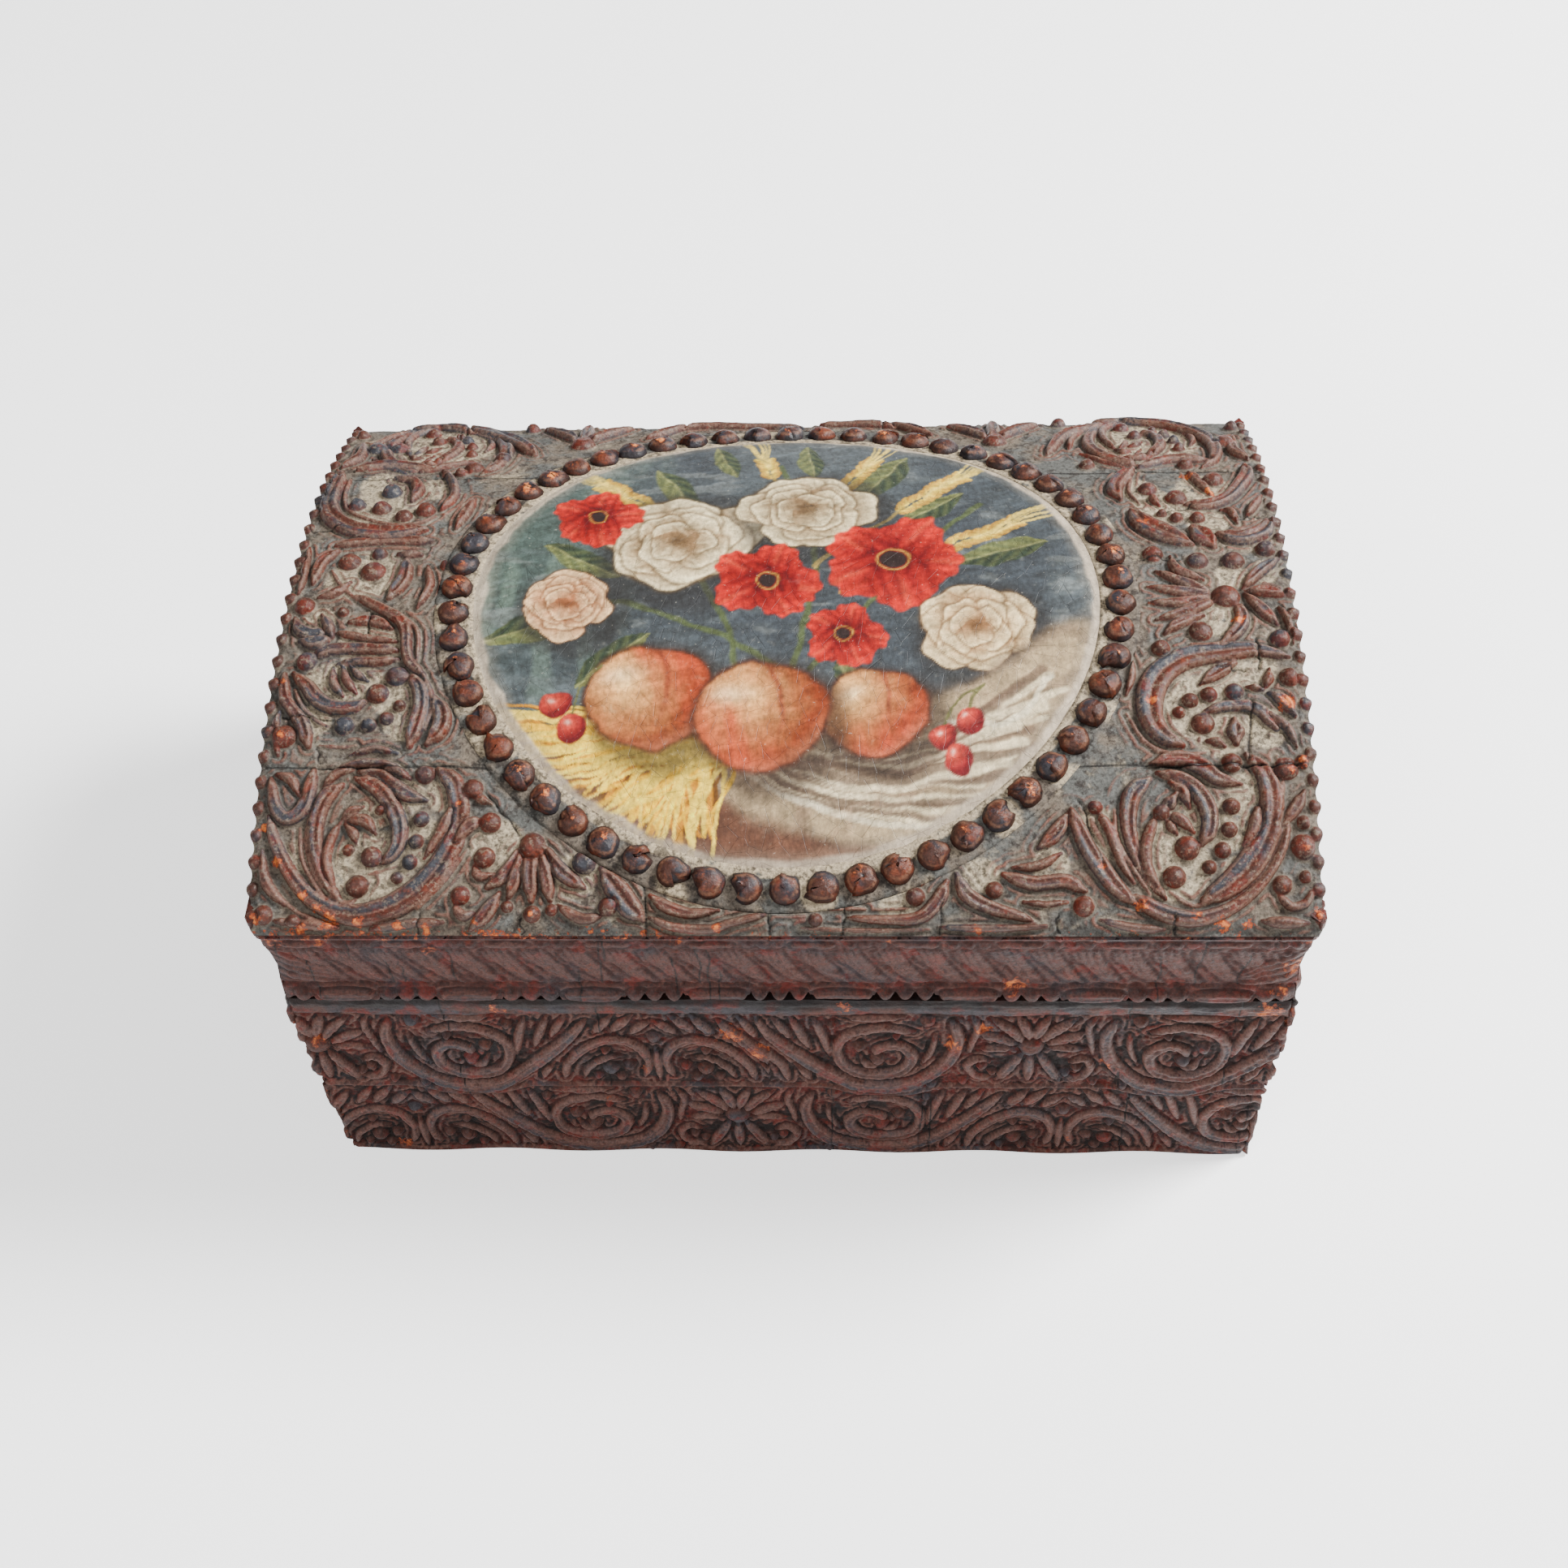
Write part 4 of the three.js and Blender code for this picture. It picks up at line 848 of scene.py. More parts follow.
def rimShape(side):
    halfAcross, face = halves(casket["half"], side)
    inner = face - rim["thick"]
    field = rimField(halfAcross, 300 + 20 * turns[side])
    seed = 340 + 10 * turns[side]
    beadsWide = 3 * rim["beadPitch"]

    def shape(s, t, flag):
        under = flag < -0.5
        across = s * halfAcross
        period = np.mod(across - rim["firstBead"] + rim["beadPitch"] / 2, rim["beadStep"])
        beadWave = np.where(period < beadsWide, 0.5 - 0.5 * np.cos(2 * math.pi * period / rim["beadPitch"]),
                            1)
        low = rim["low"] + 1.1 * (1 - beadWave)
        if side == "front":
            low = low + rim["warp"] * np.exp(-((across - 8) / 44) ** 4)
        up = low + (rim["high"] - low) * (t + 1) / 2
        v = up - rim["low"]
        layers = readField(field, across, v)
        base = np.interp(v, *np.array(rim["section"]).T)
        rise = layers["rise"] * (1 + 0.4 * (mottle(across, up, 7, seed, 2) - 0.5))
        rough = 0.6 * (mottle(across, up, 1.5, seed + 2, 2) - 0.5) + 0.2 * (mottle(across, up, 8,
                                                                                   seed + 4) - 0.5)
        rough = rough * np.where((v > 5) & (v < 21), 1, 0.4)
        plain = 1 - ease(halfAcross - 5, halfAcross - 2.4, np.abs(across))
        out = base + plain * (rise * np.where(v < 5, 1.4, np.where(v < 18, 0.8, 0.9)) + rough)
        out = inner + np.clip(out, 0.8, rim["thick"]) - cornerDrop(across, halfAcross, rim["cornerRadius"])
        out = np.where(v > 23, np.where(out > face - 0.35, face, out), out)
        out = np.where(under, inner, out)
        if side in ("front", "back"):
            roof = casket["vaultCentre"] + np.sqrt((sheetFoot - 0.02) ** 2 - out ** 2)
            up = np.minimum(up, roof)
        limit = mitreAt(halfAcross, face, out)
        across = np.clip(across, -limit, limit)
        layers["rise"] = np.clip(0.25 + 0.75 * rise + 0.5 * ease(22, 23, v), 0, 1)
        worn = 0.6 * ease(22.6, 24, v) * mottle(across, up * 0, 7, seed + 6,
                                                2) * (0.4 + 0.6 * ease(20, -30, across))
        layers["worn"] = wornAt(worn, across, up, rimWorn if side == "front" else ())
        return bevelled(turned(across, out, up, side), 1), layers
    return shape


def buildRims():
    for side in turns:
        columns = 560 if side in ("front", "back") else 390
        mesh = fitted(f"pressed_rim_{side}", slabMesh(columns, 92), rimShape(side))
        addPiece(f"pressed_rim_{side}", mesh, rimFinish, "lid", "case_ornament", f"lid_rim_{side}")


buildRims()
print("rims pressed")


# Sheets over the vault, read on the bend: across from the middle, and along it from the crown

cornerScroll = {
    "strokes": [
        ((1.2, 2.6, 3.2, 3.6, 3.8, 3.4, 2), 10.5, 14.5, 13, 12, 14.3, 8, 14.5, 4, 13.5, -1, 11, -6, 7,
         -10.5, 2, -13.5, -4, -15.5, -10, -14.5),
        ((2, 2.8, 2.6, 1.6), -3, 13.5, -8.5, 10.5, -12, 5.5, -12.5, -0.5, -10.5, -7, -6.5, -12.5),
        ((2, 2, 1.2), -3, 13.5, 2, 11.5, 8, 8.5),
        ((1.6, 2.4, 2.6, 2, 1.6), -6, 10, -1, 9, 2.5, 4, 3, -1, 1, -4.8, -2, -4.5),
        ((0.8, 1.4, 0.8), -3.5, 9, -1.5, 5),
        ((1.2, 1.8, 1.6, 1.2), -7, 5, -8.5, 0, -9, -5, -7.7, -10, -4, -14),
        ((1.2, 1.6, 1), -17, 4, -16, -2, -13, -8, -9, -13),
        ((1.3, 1.6, 0.9), -7, 5, -5.4, 6.6, -3.8, 6.2),
        ((1.3, 1.5, 0.9), -6, 4, -4.6, 1.6, -4, -0.4),
        ((1.2, 1.4, 0.8), -4, 3, -2.4, 2.6, -0.8, 0.4),
        ((0.9, 1.4, 0.7), 9.4, 3, 10.6, -1, 9, -5),
        ((0.8, 1.2, 0.6), -15, 7, -11, 11, -6, 14.4),
    ],
    "beads": [(6.8, 4.5, 1.4), (6.2, 0, 1.4), (4.5, -4, 1.5), (2.3, -7, 1.2), (-4.3, -9.3, 1.9),
              (7, 13.5, 1.7), (-2, -3.5, 1.7),
              (0, 8.4, 0.9)],
    "pale": [(0, 0, 13), (-4, 3, 10), (2, -8, 6)],
}
lidDesign = {
    "strokes": [
        # front left scroll
        ((2.6, 3.8, 4.2, 4.4, 4.6, 5, 5.2, 4.6, 3.8, 3.2, 2.8, 2.4, 1.6), -66.4, -41.5, -63, -44.7, -61.8,
         -50, -62.2, -54.7, -63.8, -58.8,
         -66.4, -63, -70, -66.6, -74.8, -69.4, -80.5, -70.6, -85.8, -69.4, -90.5, -66.4, -94, -62, -96.9,
         -56.5, -98.7, -51.2),
        ((2.2, 2, 1), -63.6, -50, -65, -54, -66.6, -57, -68, -59.6),
                ((2, 2.6, 2.8), -62, -56, -59.5, -53, -56.8, -52),
        ((1.4, 2, 2.2, 2, 1.2), -88.6, -45.4, -85.6, -42, -80.6, -40.4, -75.4, -41.2, -71.6, -43.6),
        ((1.8, 2.8, 3.2, 2.6, 1.4), -81.8, -42, -77.8, -43, -74.6, -45.3, -71.6, -47, -68.1, -48),
        ((2.4, 3.2, 3.4, 3, 2.8, 2.4, 1.8, 1.2), -84.9, -44.9, -87.5, -47, -89, -50.6, -89.3, -55.3, -88.4,
         -59.4, -86.9, -63, -85.2, -66,
         -83.4, -68),
        ((1.8, 1.8, 1.6, 1.4), -84.8, -52.6, -86.4, -56.5, -86.6, -60.6, -85.2, -64.6),
        ((1.6, 2.8, 3.2, 3.2, 3, 2.6, 2), -82.5, -43.4, -78.7, -45, -75.4, -48.4, -73.3, -52.4, -73, -56,
         -74.2, -58.8, -76.6, -60.6),
        ((1.4, 2.2, 1.2), -84.6, -52.6, -82.8, -50.4, -80.3, -49.2),
                ((1.6, 2.4, 1.2), -83.6, -52.2, -80, -52, -77.6, -54.8),
        ((1.4, 2, 1), -83.6, -52.8, -82, -54.6, -81.2, -57),
        ((2, 2.4, 2.8, 3, 2.8, 2), -98.9, -43.5, -97.6, -49, -95.2, -51.6, -92.4, -50, -91.2, -46, -90.6,
         -41.4),
        ((1.8, 2, 1.4), -97.8, -42.6, -95, -43.6, -93, -47),
                ((1.4, 2, 1.6), -62.2, -68, -60.4, -70.6, -57.6, -70),
        ((1.6, 2, 1.2), -60, -44, -58, -47.4, -55.4, -48.6),
                ((1.4, 2.2, 1.6), -99.6, -58, -98.4, -64, -94.6, -68.6),
        ((1.2, 2, 1.4), -96.6, -71.6, -90, -72.4, -84, -73),
                ((1.2, 1.8, 1.4), -78, -73.4, -70, -72.2, -64, -72),
        # left, below the middle
        ((2, 2.6, 2.6, 2.8), -77, -14.8, -84, -14.4, -90, -14.6, -94.2, -16.4),
                ((1.2, 1.6, 1.8, 1.2), -77.4, -12.6, -82, -12, -86, -11.2, -90.4, -10.2),
        ((1.6, 2.6, 2), -78.8, -9.4, -82.6, -7.4, -87.6, -7.6),
                ((1.4, 2, 2, 1.4), -76.4, -17, -80.5, -17.6, -84.6, -17.6, -89, -18.2),
        ((1.2, 1.8, 1.2), -89.4, -18.8, -88.8, -22.6, -86.6, -25.6),
                ((1.2, 1.8, 1.2), -87.6, -18.6, -86.2, -22, -84, -25),
        ((1.2, 1.6, 1), -86, -18.6, -84, -20.8, -82, -22.2),
                ((2, 2.6, 2.6, 1.8), -98.8, -6.8, -97.2, -9.6, -94, -10.8, -91.8, -8.8),
        ((2, 3, 2), -97, -12.4, -93.6, -13, -90.6, -11.4), ((1.6, 2.2, 1.4), -93.6, -5.6, -91.8, -8.4,
                                                            -90.4, -11.6),
        ((2, 2.4, 2.6, 2.4, 2.2, 2.2, 2), -87.2, -0.6, -81.6, -4.1, -77.5, -7, -75.8, -10.4, -75.2, -14.7,
         -74, -18, -71, -20.8),
        ((2.4, 3.6, 3.6, 2.4), -68.4, -26, -66.6, -29.6, -66.8, -33.2, -69, -36.2),
        ((1.6, 2.8, 3.2, 3.4, 2.8), -75, -20.2, -72, -23.2, -70.9, -27.6, -71.5, -32, -72.4, -36.6),
        ((2.2, 2.6, 2.4, 3, 2.6), -99, -20.4, -98.4, -25.3, -96.6, -28.2, -94, -31.8, -92.2, -36.6),
        ((1.8, 2.8, 3.2, 3, 2.6, 2.2), -97.2, -20.2, -94, -23.3, -91.9, -26, -88.7, -28, -84.6, -28.2,
         -81.8, -26.6),
        ((1, 1.4, 1), -84, -38.6, -79, -37.2, -74.6, -38.2),
                ((1.4, 2, 1.2), -98.8, -29, -99.4, -33, -98, -38.6),
        # left, above the middle
        ((2, 2.6, 2), -96.8, 3, -96, 9, -93, 12.8), ((2.6, 3.2, 3), -78.4, 10, -78.2, 4, -80.4, -1),
                ((1.8, 2.2), -80.4, 11.6, -75.6, 11.4),
        ((1.4, 1.8, 1.2), -73.8, 8, -72.6, 2, -74.4, -4), ((1.8, 2.4, 2), -94, 14.6, -84, 16, -74, 15.6),
        ((3.4, 4.4, 4.4, 4, 3), -98.2, 42, -98.2, 28, -92.6, 20.6, -83.4, 18.6, -76, 19.6),
                ((1.8, 2.2, 2.6, 2.4), -86, 40, -81.8, 38.8, -79.9, 35, -80.5, 30.4),
        ((1.8, 2.2, 1.8), -73.6, 27, -71.8, 32, -73, 38, -76, 43.6),
                ((2.4, 3, 2.2), -95, 44.6, -88, 46.6, -79, 45),
        ((1.4, 2, 1.4), -99.4, 0, -99.2, 6, -99.6, 14), ((1.4, 2.4, 1.4), -69.6, 20, -68.4, 25, -67, 31),
                ((1.4, 2.2, 1.4), -95, -1, -91.6, 0.4, -89, 3.4),
        # front palmette and the band below the bead ring
        ((2, 3, 2.4), -48.6, -56.6, -51.4, -61.6, -55.6, -65.2),
                ((2, 3, 2.4), -46, -56.6, -42, -61.8, -37.4, -65.2),
        ((1.8, 2.6, 2), -48.2, -57, -50.2, -63, -51.6, -67.4),
                ((1.8, 2.6, 2), -46.6, -57, -44.6, -63, -43.6, -68),
        ((2, 2.8, 2.2), -47.4, -56.6, -47.6, -62.6, -47.2, -68),
                ((1.4, 2.2, 1.6), -42.4, -68.6, -37.6, -71.2, -33.6, -70.6),
        ((2, 3, 1.6), -53.4, -66.4, -56, -70.4, -58.8, -73.4),
                ((1.2, 1.8, 1.4), -58.4, -60.6, -57.4, -63, -54.6, -62.6),
        ((2, 4.4, 4.4, 2.6), -34, -61.6, -31.2, -65.4, -28.6, -68.8, -25.6, -71.4),
                ((1.6, 2.4, 2, 1), -24.6, -66.8, -21.3, -69, -16.7, -70.2, -11.6, -69.6),
        ((1.4, 1.6, 1.8, 1.6, 1.4), -24.7, -71, -20, -72.8, -13.3, -73.2, -9.3, -72, -2.7, -70.4),
        ((1.2, 1.8, 2.4, 2.8, 2.2), 12.7, -71, 20, -71.4, 26, -71, 29.5, -68, 31.4, -64),
        ((1.8, 2.8, 2.6, 1.8, 1), 33.2, -62.6, 35.3, -66.7, 40, -69.2, 44.7, -70.6, 48, -72),
        ((2, 2.8, 2.6, 2), 42, -62.7, 47.5, -64.4, 53.6, -64, 57.4, -66),
                ((1.2, 1.8, 1.2), 43.6, -61.4, 48.7, -61, 53, -58.6),
        ((2, 3, 1.6), 48.8, -57.6, 52, -54.6, 54.6, -50.6), ((0.9, 1.2, 0.9), 45.6, -68, 50, -68.4, 54,
                                                             -68), ((1, 1.4, 1), 30, -72.8, 40, -73, 50,
                                                                    -72.6),
        # front right scroll
        ((1.4, 2, 2, 2.2, 2.6, 3, 3.2, 2.6), 95.6, -51, 94.4, -57, 91.8, -62, 87.4, -67, 82, -70.2, 76.5,
         -71.2, 71, -69.8, 66.5, -67),
        ((2.2, 3.4, 4.4, 4.8, 5, 5.4, 4.6, 3), 88.7, -38.8, 91.6, -42.4, 92.8, -46.6, 92.6, -51, 91, -56,
         88, -60.8, 84, -64.8, 79.4, -67.6),
        ((2.4, 2, 1), 90, -50, 89, -53.8, 87, -57), ((2.2, 3.2, 3.4, 2.8, 1.4), 70.6, -40.8, 75.8, -39.6,
                                                     79.9, -41.3, 83, -43.8, 87.4, -45),
        ((3, 3.6, 3.2, 2.8, 2.6, 2.2, 1.4), 69.9, -44, 66.9, -46.7, 65.8, -50.6, 66, -55.3, 67.5, -59.6,
         69.9, -64, 72.2, -67.4),
        ((2, 2.2, 2, 1.4), 70.8, -51.6, 69, -56.5, 69, -61, 70.8, -65),
                ((1.8, 2.8, 3.4, 3.4, 3, 2.4), 71.6, -42.6, 75.8, -43.8, 78.8, -46.2, 80.8, -50,
80.8, -54, 79.2, -57),
        ((1.6, 2.2, 1.2), 74, -44.6, 76.2, -46.8, 77.4, -49.8),
                ((2.2, 2.6, 1.4), 72, -51, 73.6, -48.8, 75, -46.8),
        ((1.6, 2.2, 1.2), 72.6, -51.2, 75.4, -52, 78, -54.6),
                ((1.6, 2, 1.2), 72.8, -52, 73.8, -53.6, 74.8, -55),
        ((1.4, 2, 1.6, 1), 59.9, -50, 62.4, -54.7, 64, -60, 66.4, -64.4),
                ((2, 3.2, 3.6, 3, 1.8), 55, -50, 57.5, -56.5, 60.5, -61.6, 63.4, -65.5, 66.6, -68.4),
        ((1.4, 1.8, 1.4), 92.8, -66, 95.4, -68.8, 98.4, -68, 100.2, -64.6),
                ((1.6, 2.4, 2), 94.8, -53, 97, -50, 99.2, -46.4),
        ((1.4, 2.2, 1.4), 90, -71.6, 94, -71.8, 98.6, -72), ((1, 1.6, 1.2), 60, -71.4, 66, -72.8, 72,
                                                             -73.2),
        # right, below the middle
        ((2.6, 3, 1.4), 88, -18.6, 84.6, -20.8, 81, -23.6), ((1.6, 2.8, 4.4, 5, 5.2, 5.6, 5.4, 4.6, 3.4, 2),
                                                             98.7, -17.4, 92.8, -15.8, 87, -16, 80.5, -17,
         76, -19, 72.6, -22.4, 71, -27, 71.2, -31.4, 73.2, -35, 76.9, -37),
        ((1.8, 2.4, 2.4, 2.6, 2.6), 81.4, -29.6, 85.2, -28.6, 89.3, -28.4, 92.4, -29.8, 94.8, -33.4),
                ((2.4, 3.4, 2.4), 86.9, -31.4, 87, -34, 86.9, -36.6),
        ((1.6, 2.2, 1.4), 81.4, -36, 83.2, -36.2, 84.8, -37.2),
                ((1.6, 2.2, 1.2), 93.4, -24.6, 94.2, -22.4, 94.6, -20),
        ((1.4, 2, 1.2), 93, -25, 91.4, -24.4, 89.8, -24.2), ((1.8, 2.6, 2), 94, -25.6, 96.4, -27.2, 98.6,
                                                             -30.6), ((1.4, 1.8, 1), 94, -30, 97, -33.6,
                                                                      98.4, -37.4),
        ((1.6, 2.4, 1.2), 86, -2, 80, 1.8, 74.6, 5), ((1.6, 2.4, 1.2), 86, -2.2, 79.4, -0.8, 72.6, 0.8),
        ((1.6, 2.4, 1.2), 86, -2.6, 79.4, -3.6, 72.6, -3.6), ((1.6, 2.4, 1.2), 86, -3, 80, -6, 73.6, -8),
        ((1.6, 2.4, 2), 75, -11.6, 78.2, -9, 83, -7), ((2, 3, 2.8, 1.6), 86, -14, 89.3, -10.8, 90.6, -7.4,
                                                       89.6, -3),
        ((1.6, 2.8, 1.6), 91.6, 0, 95.2, 4.6, 100, 8.6), ((1.4, 2.6, 1.2), 92, -0.6, 96, -0.8, 100.4, -2),
                ((1.4, 2.6, 1.4), 91.6, -1.4, 95, -6, 97.4, -9.6),
        ((1.4, 2, 1.2), 98, -5, 99.6, -8, 100.4, -14), ((1.2, 1.6, 1), 67.4, -16, 68, -21, 66.6, -26),
        # right, above the middle
        ((2.4, 4.6, 5, 2), 71.4, 24.6, 73.4, 20, 77.5, 16.4, 83, 13),
                ((4, 5, 3), 83.6, 18.4, 85.4, 15.6, 87.2, 12.4),
        ((3, 3.8, 4, 2.4), 88.6, 16.4, 92.8, 14.8, 97.5, 17, 100.3, 21.4),
                ((2.4, 3, 3, 3.4, 3.2, 2), 83, 26.8, 87.5, 26.4, 91.8, 28.8, 95.2, 34, 97.4, 39, 97.4, 43),
        ((1.8, 2, 1.6), 76.4, 31, 76.8, 28, 77.6, 26.4), ((2.4, 3.4, 3.4, 2), 73.6, 42, 70.6, 37.5, 68.8,
                                                          32.8, 69.8, 28.8),
        ((1.8, 2.4, 1.8), 75, 42.6, 82, 46, 90, 45.6), ((1.8, 2.4, 1.4), 85.2, 40, 86.8, 36, 88.7, 30.6),
                ((1.2, 1.8, 1), 93, 20, 92, 24, 90, 24.6),
        ((1.4, 2.2, 1.4), 84, 2.6, 79, 5.4, 78, 9.6), ((1.2, 2, 1.2), 95, 22, 97, 26, 99.4, 30),
        # back edge
        ((2.8, 4, 2.6), -57, 52, -64, 62, -74, 70.5), ((2, 3, 2), 56, 50, 61, 62, 70, 69.5),
        ((2, 3.2, 1.8), -47, 59, -52, 65, -57, 70), ((2, 3.2, 1.8), -47, 59, -47, 66, -47, 72),
                ((2, 3.2, 1.8), -47, 59, -42, 65, -37, 70),
        ((2, 3.2, 1.8), 45, 59, 40, 65, 35, 70), ((2, 3.2, 1.8), 45, 59, 45, 66, 45, 72),
                ((2, 3.2, 1.8), 45, 59, 50, 65, 55, 70),
        ((1.6, 2.6, 1.6), -30, 67, -22, 71, -10, 71, 2, 69), ((1.6, 2.6, 1.6), 28, 68, 18, 71.4, 6, 72),
                ((1.6, 2.6, 1.4), -99, 46, -96, 51, -97, 60),
        ((1.6, 2.6, 1.4), 99, 46, 96.4, 51, 97.6, 60), ((1.8, 3, 1.6), 31, 63, 27, 67, 22, 72),
                ((1.8, 3, 1.6), -33, 62, -29, 66, -25, 71),
    ],
    "threads": [
        ((0.9,), -92.4, -53.6, -91.6, -59.4, -89.3, -64, -86.4, -67.4),
                ((0.8,), -90.9, -51.8, -91, -56.5, -89.4, -61.8, -87.4, -65),
        ((0.9,), -96.4, -24, -94.6, -27.6, -91.2, -31, -88.8, -32.4),
                ((1.1,), -71, -21, -69.3, -24.7, -68.7, -28.4, -69.6, -33),
        ((0.8,), -90, -36.4, -86, -36.8, -83, -36.4), ((1,), -95.8, 41, -95.6, 32.8, -93.8, 27.4, -89.3,
                                                       23.9, -83.4, 21.8, -78, 22, -74.4, 24.6),
        ((0.9,), -92, 12.9, -83, 13.8, -75, 13.3), ((0.9,), -93.6, 7, -91, 2.6, -87, -1.6),
                ((0.9,), -2, -69.4, 8, -69.2, 16, -69.4),
        ((0.9,), 63.2, -50, 63.6, -55.6, 66.4, -61.6, 69.4, -66.6),
                ((1,), 80, -14, 84.6, -14.2, 87.4, -12.6), ((0.9,), 72.8, 38, 71.8, 32, 73.6, 27),
        ((0.9,), 69, -36, 75, -39, 81, -38.4), ((0.8,), 94.4, -39, 95.2, -45, 94.2, -50),
                ((0.8,), -60, -58, -64, -64, -69, -69.4),
        ((0.8,), -78, -64, -81.6, -68, -86, -67), ((0.8,), 73, -66, 77, -68.6, 82, -67.6),
                ((0.8,), -96.6, -66, -92, -70, -87, -71.8),
        ((0.9,), -77, -6, -73.6, -10, -72.8, -17), ((0.8,), 66.4, -30, 68.8, -35, 72, -38.4),
                ((0.8,), 4, -73, 16, -73.4, 28, -73.2),
    ],
    "beads": [
        (-55.6, -52.5, 2.1), (-78.2, -59.3, 2.1), (-69, -51.8, 1.6), (-69.7, -56.2, 1.5),
              (-70.8, -60.3, 1.5), (-73.1, -63.4, 1.2), (-80.6, -65, 2.2),
        (-77.1, -50, 1), (-82.7, -57.9, 1.2), (-68.8, -42.6, 2), (-98.7, -70.6, 2), (-92.8, -71.8, 1.3),
              (-60.8, -66.8, 1.9), (-59.3, -45.6, 2),
        (-94.9, -17.4, 2.1), (-89.3, -5, 1.2), (-97.5, -3.2, 2.2), (-76.4, -21, 2.3), (-79.8, -25, 2.3),
              (-75.2, -27.8, 1.3), (-77.5, -30.6, 1.5),
        (-80.8, -32, 1.6), (-85.6, -32.2, 2), (-97.2, -34.5, 2.5), (-84.9, 6.4, 2.7), (-90.2, 9.3, 2.4),
              (-84.3, 11.8, 1.7), (-81.4, 24.5, 2),
        (-77, 26.6, 2.2), (-86.6, 27.5, 2.2), (-92, 28.8, 1.9), (-85.5, 34, 2.3), (-69.5, 45, 2.2),
              (-47.3, -57, 2.5), (-56.4, -59.4, 2.1),
        (-47, -70.4, 1.7), (-51.8, -69, 1.2), (-43.4, -69.6, 1.2), (-37.3, -60.4, 2.3), (-32.7, -69, 1.8),
              (6.7, -71.4, 1.3), (26.3, -63.8, 1.2),
        (25.5, -67, 1.8), (40.3, -65.7, 1.7), (57, -68.8, 2), (85.2, -49.4, 1.7), (84.6, -54, 1.6),
              (83.2, -58, 1.6), (80.6, -61.3, 1.4),
        (74, -63.2, 2.2), (76.6, -57.6, 2.4), (85.8, -40.6, 2), (72, -50.6, 1.6), (59.6, -49.6, 1.4),
              (98.4, -57.4, 2.6), (94, -64.7, 1.9),
        (98.4, -63.2, 1.3), (98.6, -52.6, 1.4), (96, -41.8, 2.4), (99.4, -40.4, 1.6), (80.9, -32.2, 2.3),
              (76.5, -29.8, 1.3), (78.8, -27.2, 1.7),
        (82.5, -25.9, 1.7), (87.4, -25.3, 1.9), (74, -15.2, 1.9), (98.4, -22, 2.1), (97.5, -12.9, 2.1),
              (82.2, -11, 2.4), (88, -2, 2.9),
        (74.6, 10.2, 2.2), (83.4, 8.1, 2.3), (90.5, 8, 2.4), (97.4, 11.4, 2.1), (81.4, 29.3, 2.4),
              (90, 36.6, 2.3), (77.7, 23.5, 1.2), (80.6, 21.9, 1.5),
        (84.9, 21.8, 1.7), (75.8, 32.8, 2.1), (-93, 56, 2.2), (-88, 56, 2), (-47, 58, 2.8), (45, 58, 2.7),
              (95, 56, 2.2), (-60, 70, 1.8), (60, 70.5, 1.8),
        (-98.5, 66, 1.8), (98.5, 67, 1.8), (-72, 42.6, 1.4), (64, 44, 1.8), (-64, 50, 1.8), (68, 12, 1.3),
              (-70, 8, 1.3),
    ],
    "worn": [
        (-85.8, -72, 2.6), (-96.4, -60.3, 1.5), (-91, -67, 1.5), (-88, -69.4, 1.3), (-79.9, -72.2, 1.5),
             (-67.2, -73.4, 1.6), (-99.6, -53.5, 1.2),
        (-97.2, -34.5, 1.7), (98.4, -57.4, 1.4), (97.4, -28, 2.4), (99.4, -40.4, 1.8), (96.6, -42.6, 1.2),
             (83, -72, 2.2), (87.6, -72.2, 1.5),
        (67.6, -68.6, 1.8), (77.6, -70.4, 1.5), (89.8, -8.4, 1.7), (26.3, -63.8, 1.3), (-12, -73, 1.2),
             (-100, -71.6, 1.6), (-91, -73.2, 1.7),
        (84.8, 38.4, 1.8), (88.6, 31.4, 1.5), (-58, -72, 1.3), (71.2, -27.6, 1.4), (-72.6, -72.8, 1.4),
             (-99, -22.6, 1.3), (-62, -49, 1.1),
        (60.6, -61, 1.2), (73.4, 19.6, 1.6), (-47, -70.4, 0.9), (37, -73.4, 1.4), (-36, -73.4, 1.3),
             (100.6, -70, 1.5),
    ],
    "pale": [
        (-78, -62, 9), (-72, -47, 4), (-69.5, -56, 6), (-84, -64, 5), (-77.5, -50, 4), (-65, -46.6, 4),
             (-91.6, -59, 4), (-76, -25, 6), (-74, -31, 5),
        (-90, -23, 6), (-83, -23, 5), (-92, -31, 4), (-84, -13, 6), (-78.5, -13, 4), (-94, -7, 4),
             (-86, 6, 8), (-86, 28, 9), (-88, 38, 6),
        (-76, 36, 5), (-90, 3, 5), (77, -53, 6), (74, -61, 8), (84, -53, 6), (88, -46, 4), (86, -62, 3.4),
             (63, -57, 3.4), (70.6, -56, 4),
        (82, -23, 7), (77, -30, 6), (84, -34, 6), (91, -20, 6), (86, -6.8, 6), (93, -33, 5), (78, 26, 7),
             (88, 33, 7), (74, 33, 5),
        (87, 21, 5), (90, 4, 4), (97, 5, 4), (-54, -57, 6), (-39, -63, 5), (-18, -68, 4), (22, -69, 4),
             (38, -63, 4), (51, -61, 4), (60, -54, 5),
    ],
    "cracks": [(-25.4, -74, -25.8, -62), (90.5, -27, 88.9, -40), (-84, -11, -83.6, -5),
               (11.8, -74, 12.2, -69), (-2, -74, -2.4, -69), (-69, -74, -68.6, -70),
               (30, -74, 30.4, -68), (92.6, -19, 93, -12), (-101, 20, -94, 20.4), (-49, -74, -49.2, -71),
               (-98, -30, -88, -30.6), (72, 9, 80, 8.6),
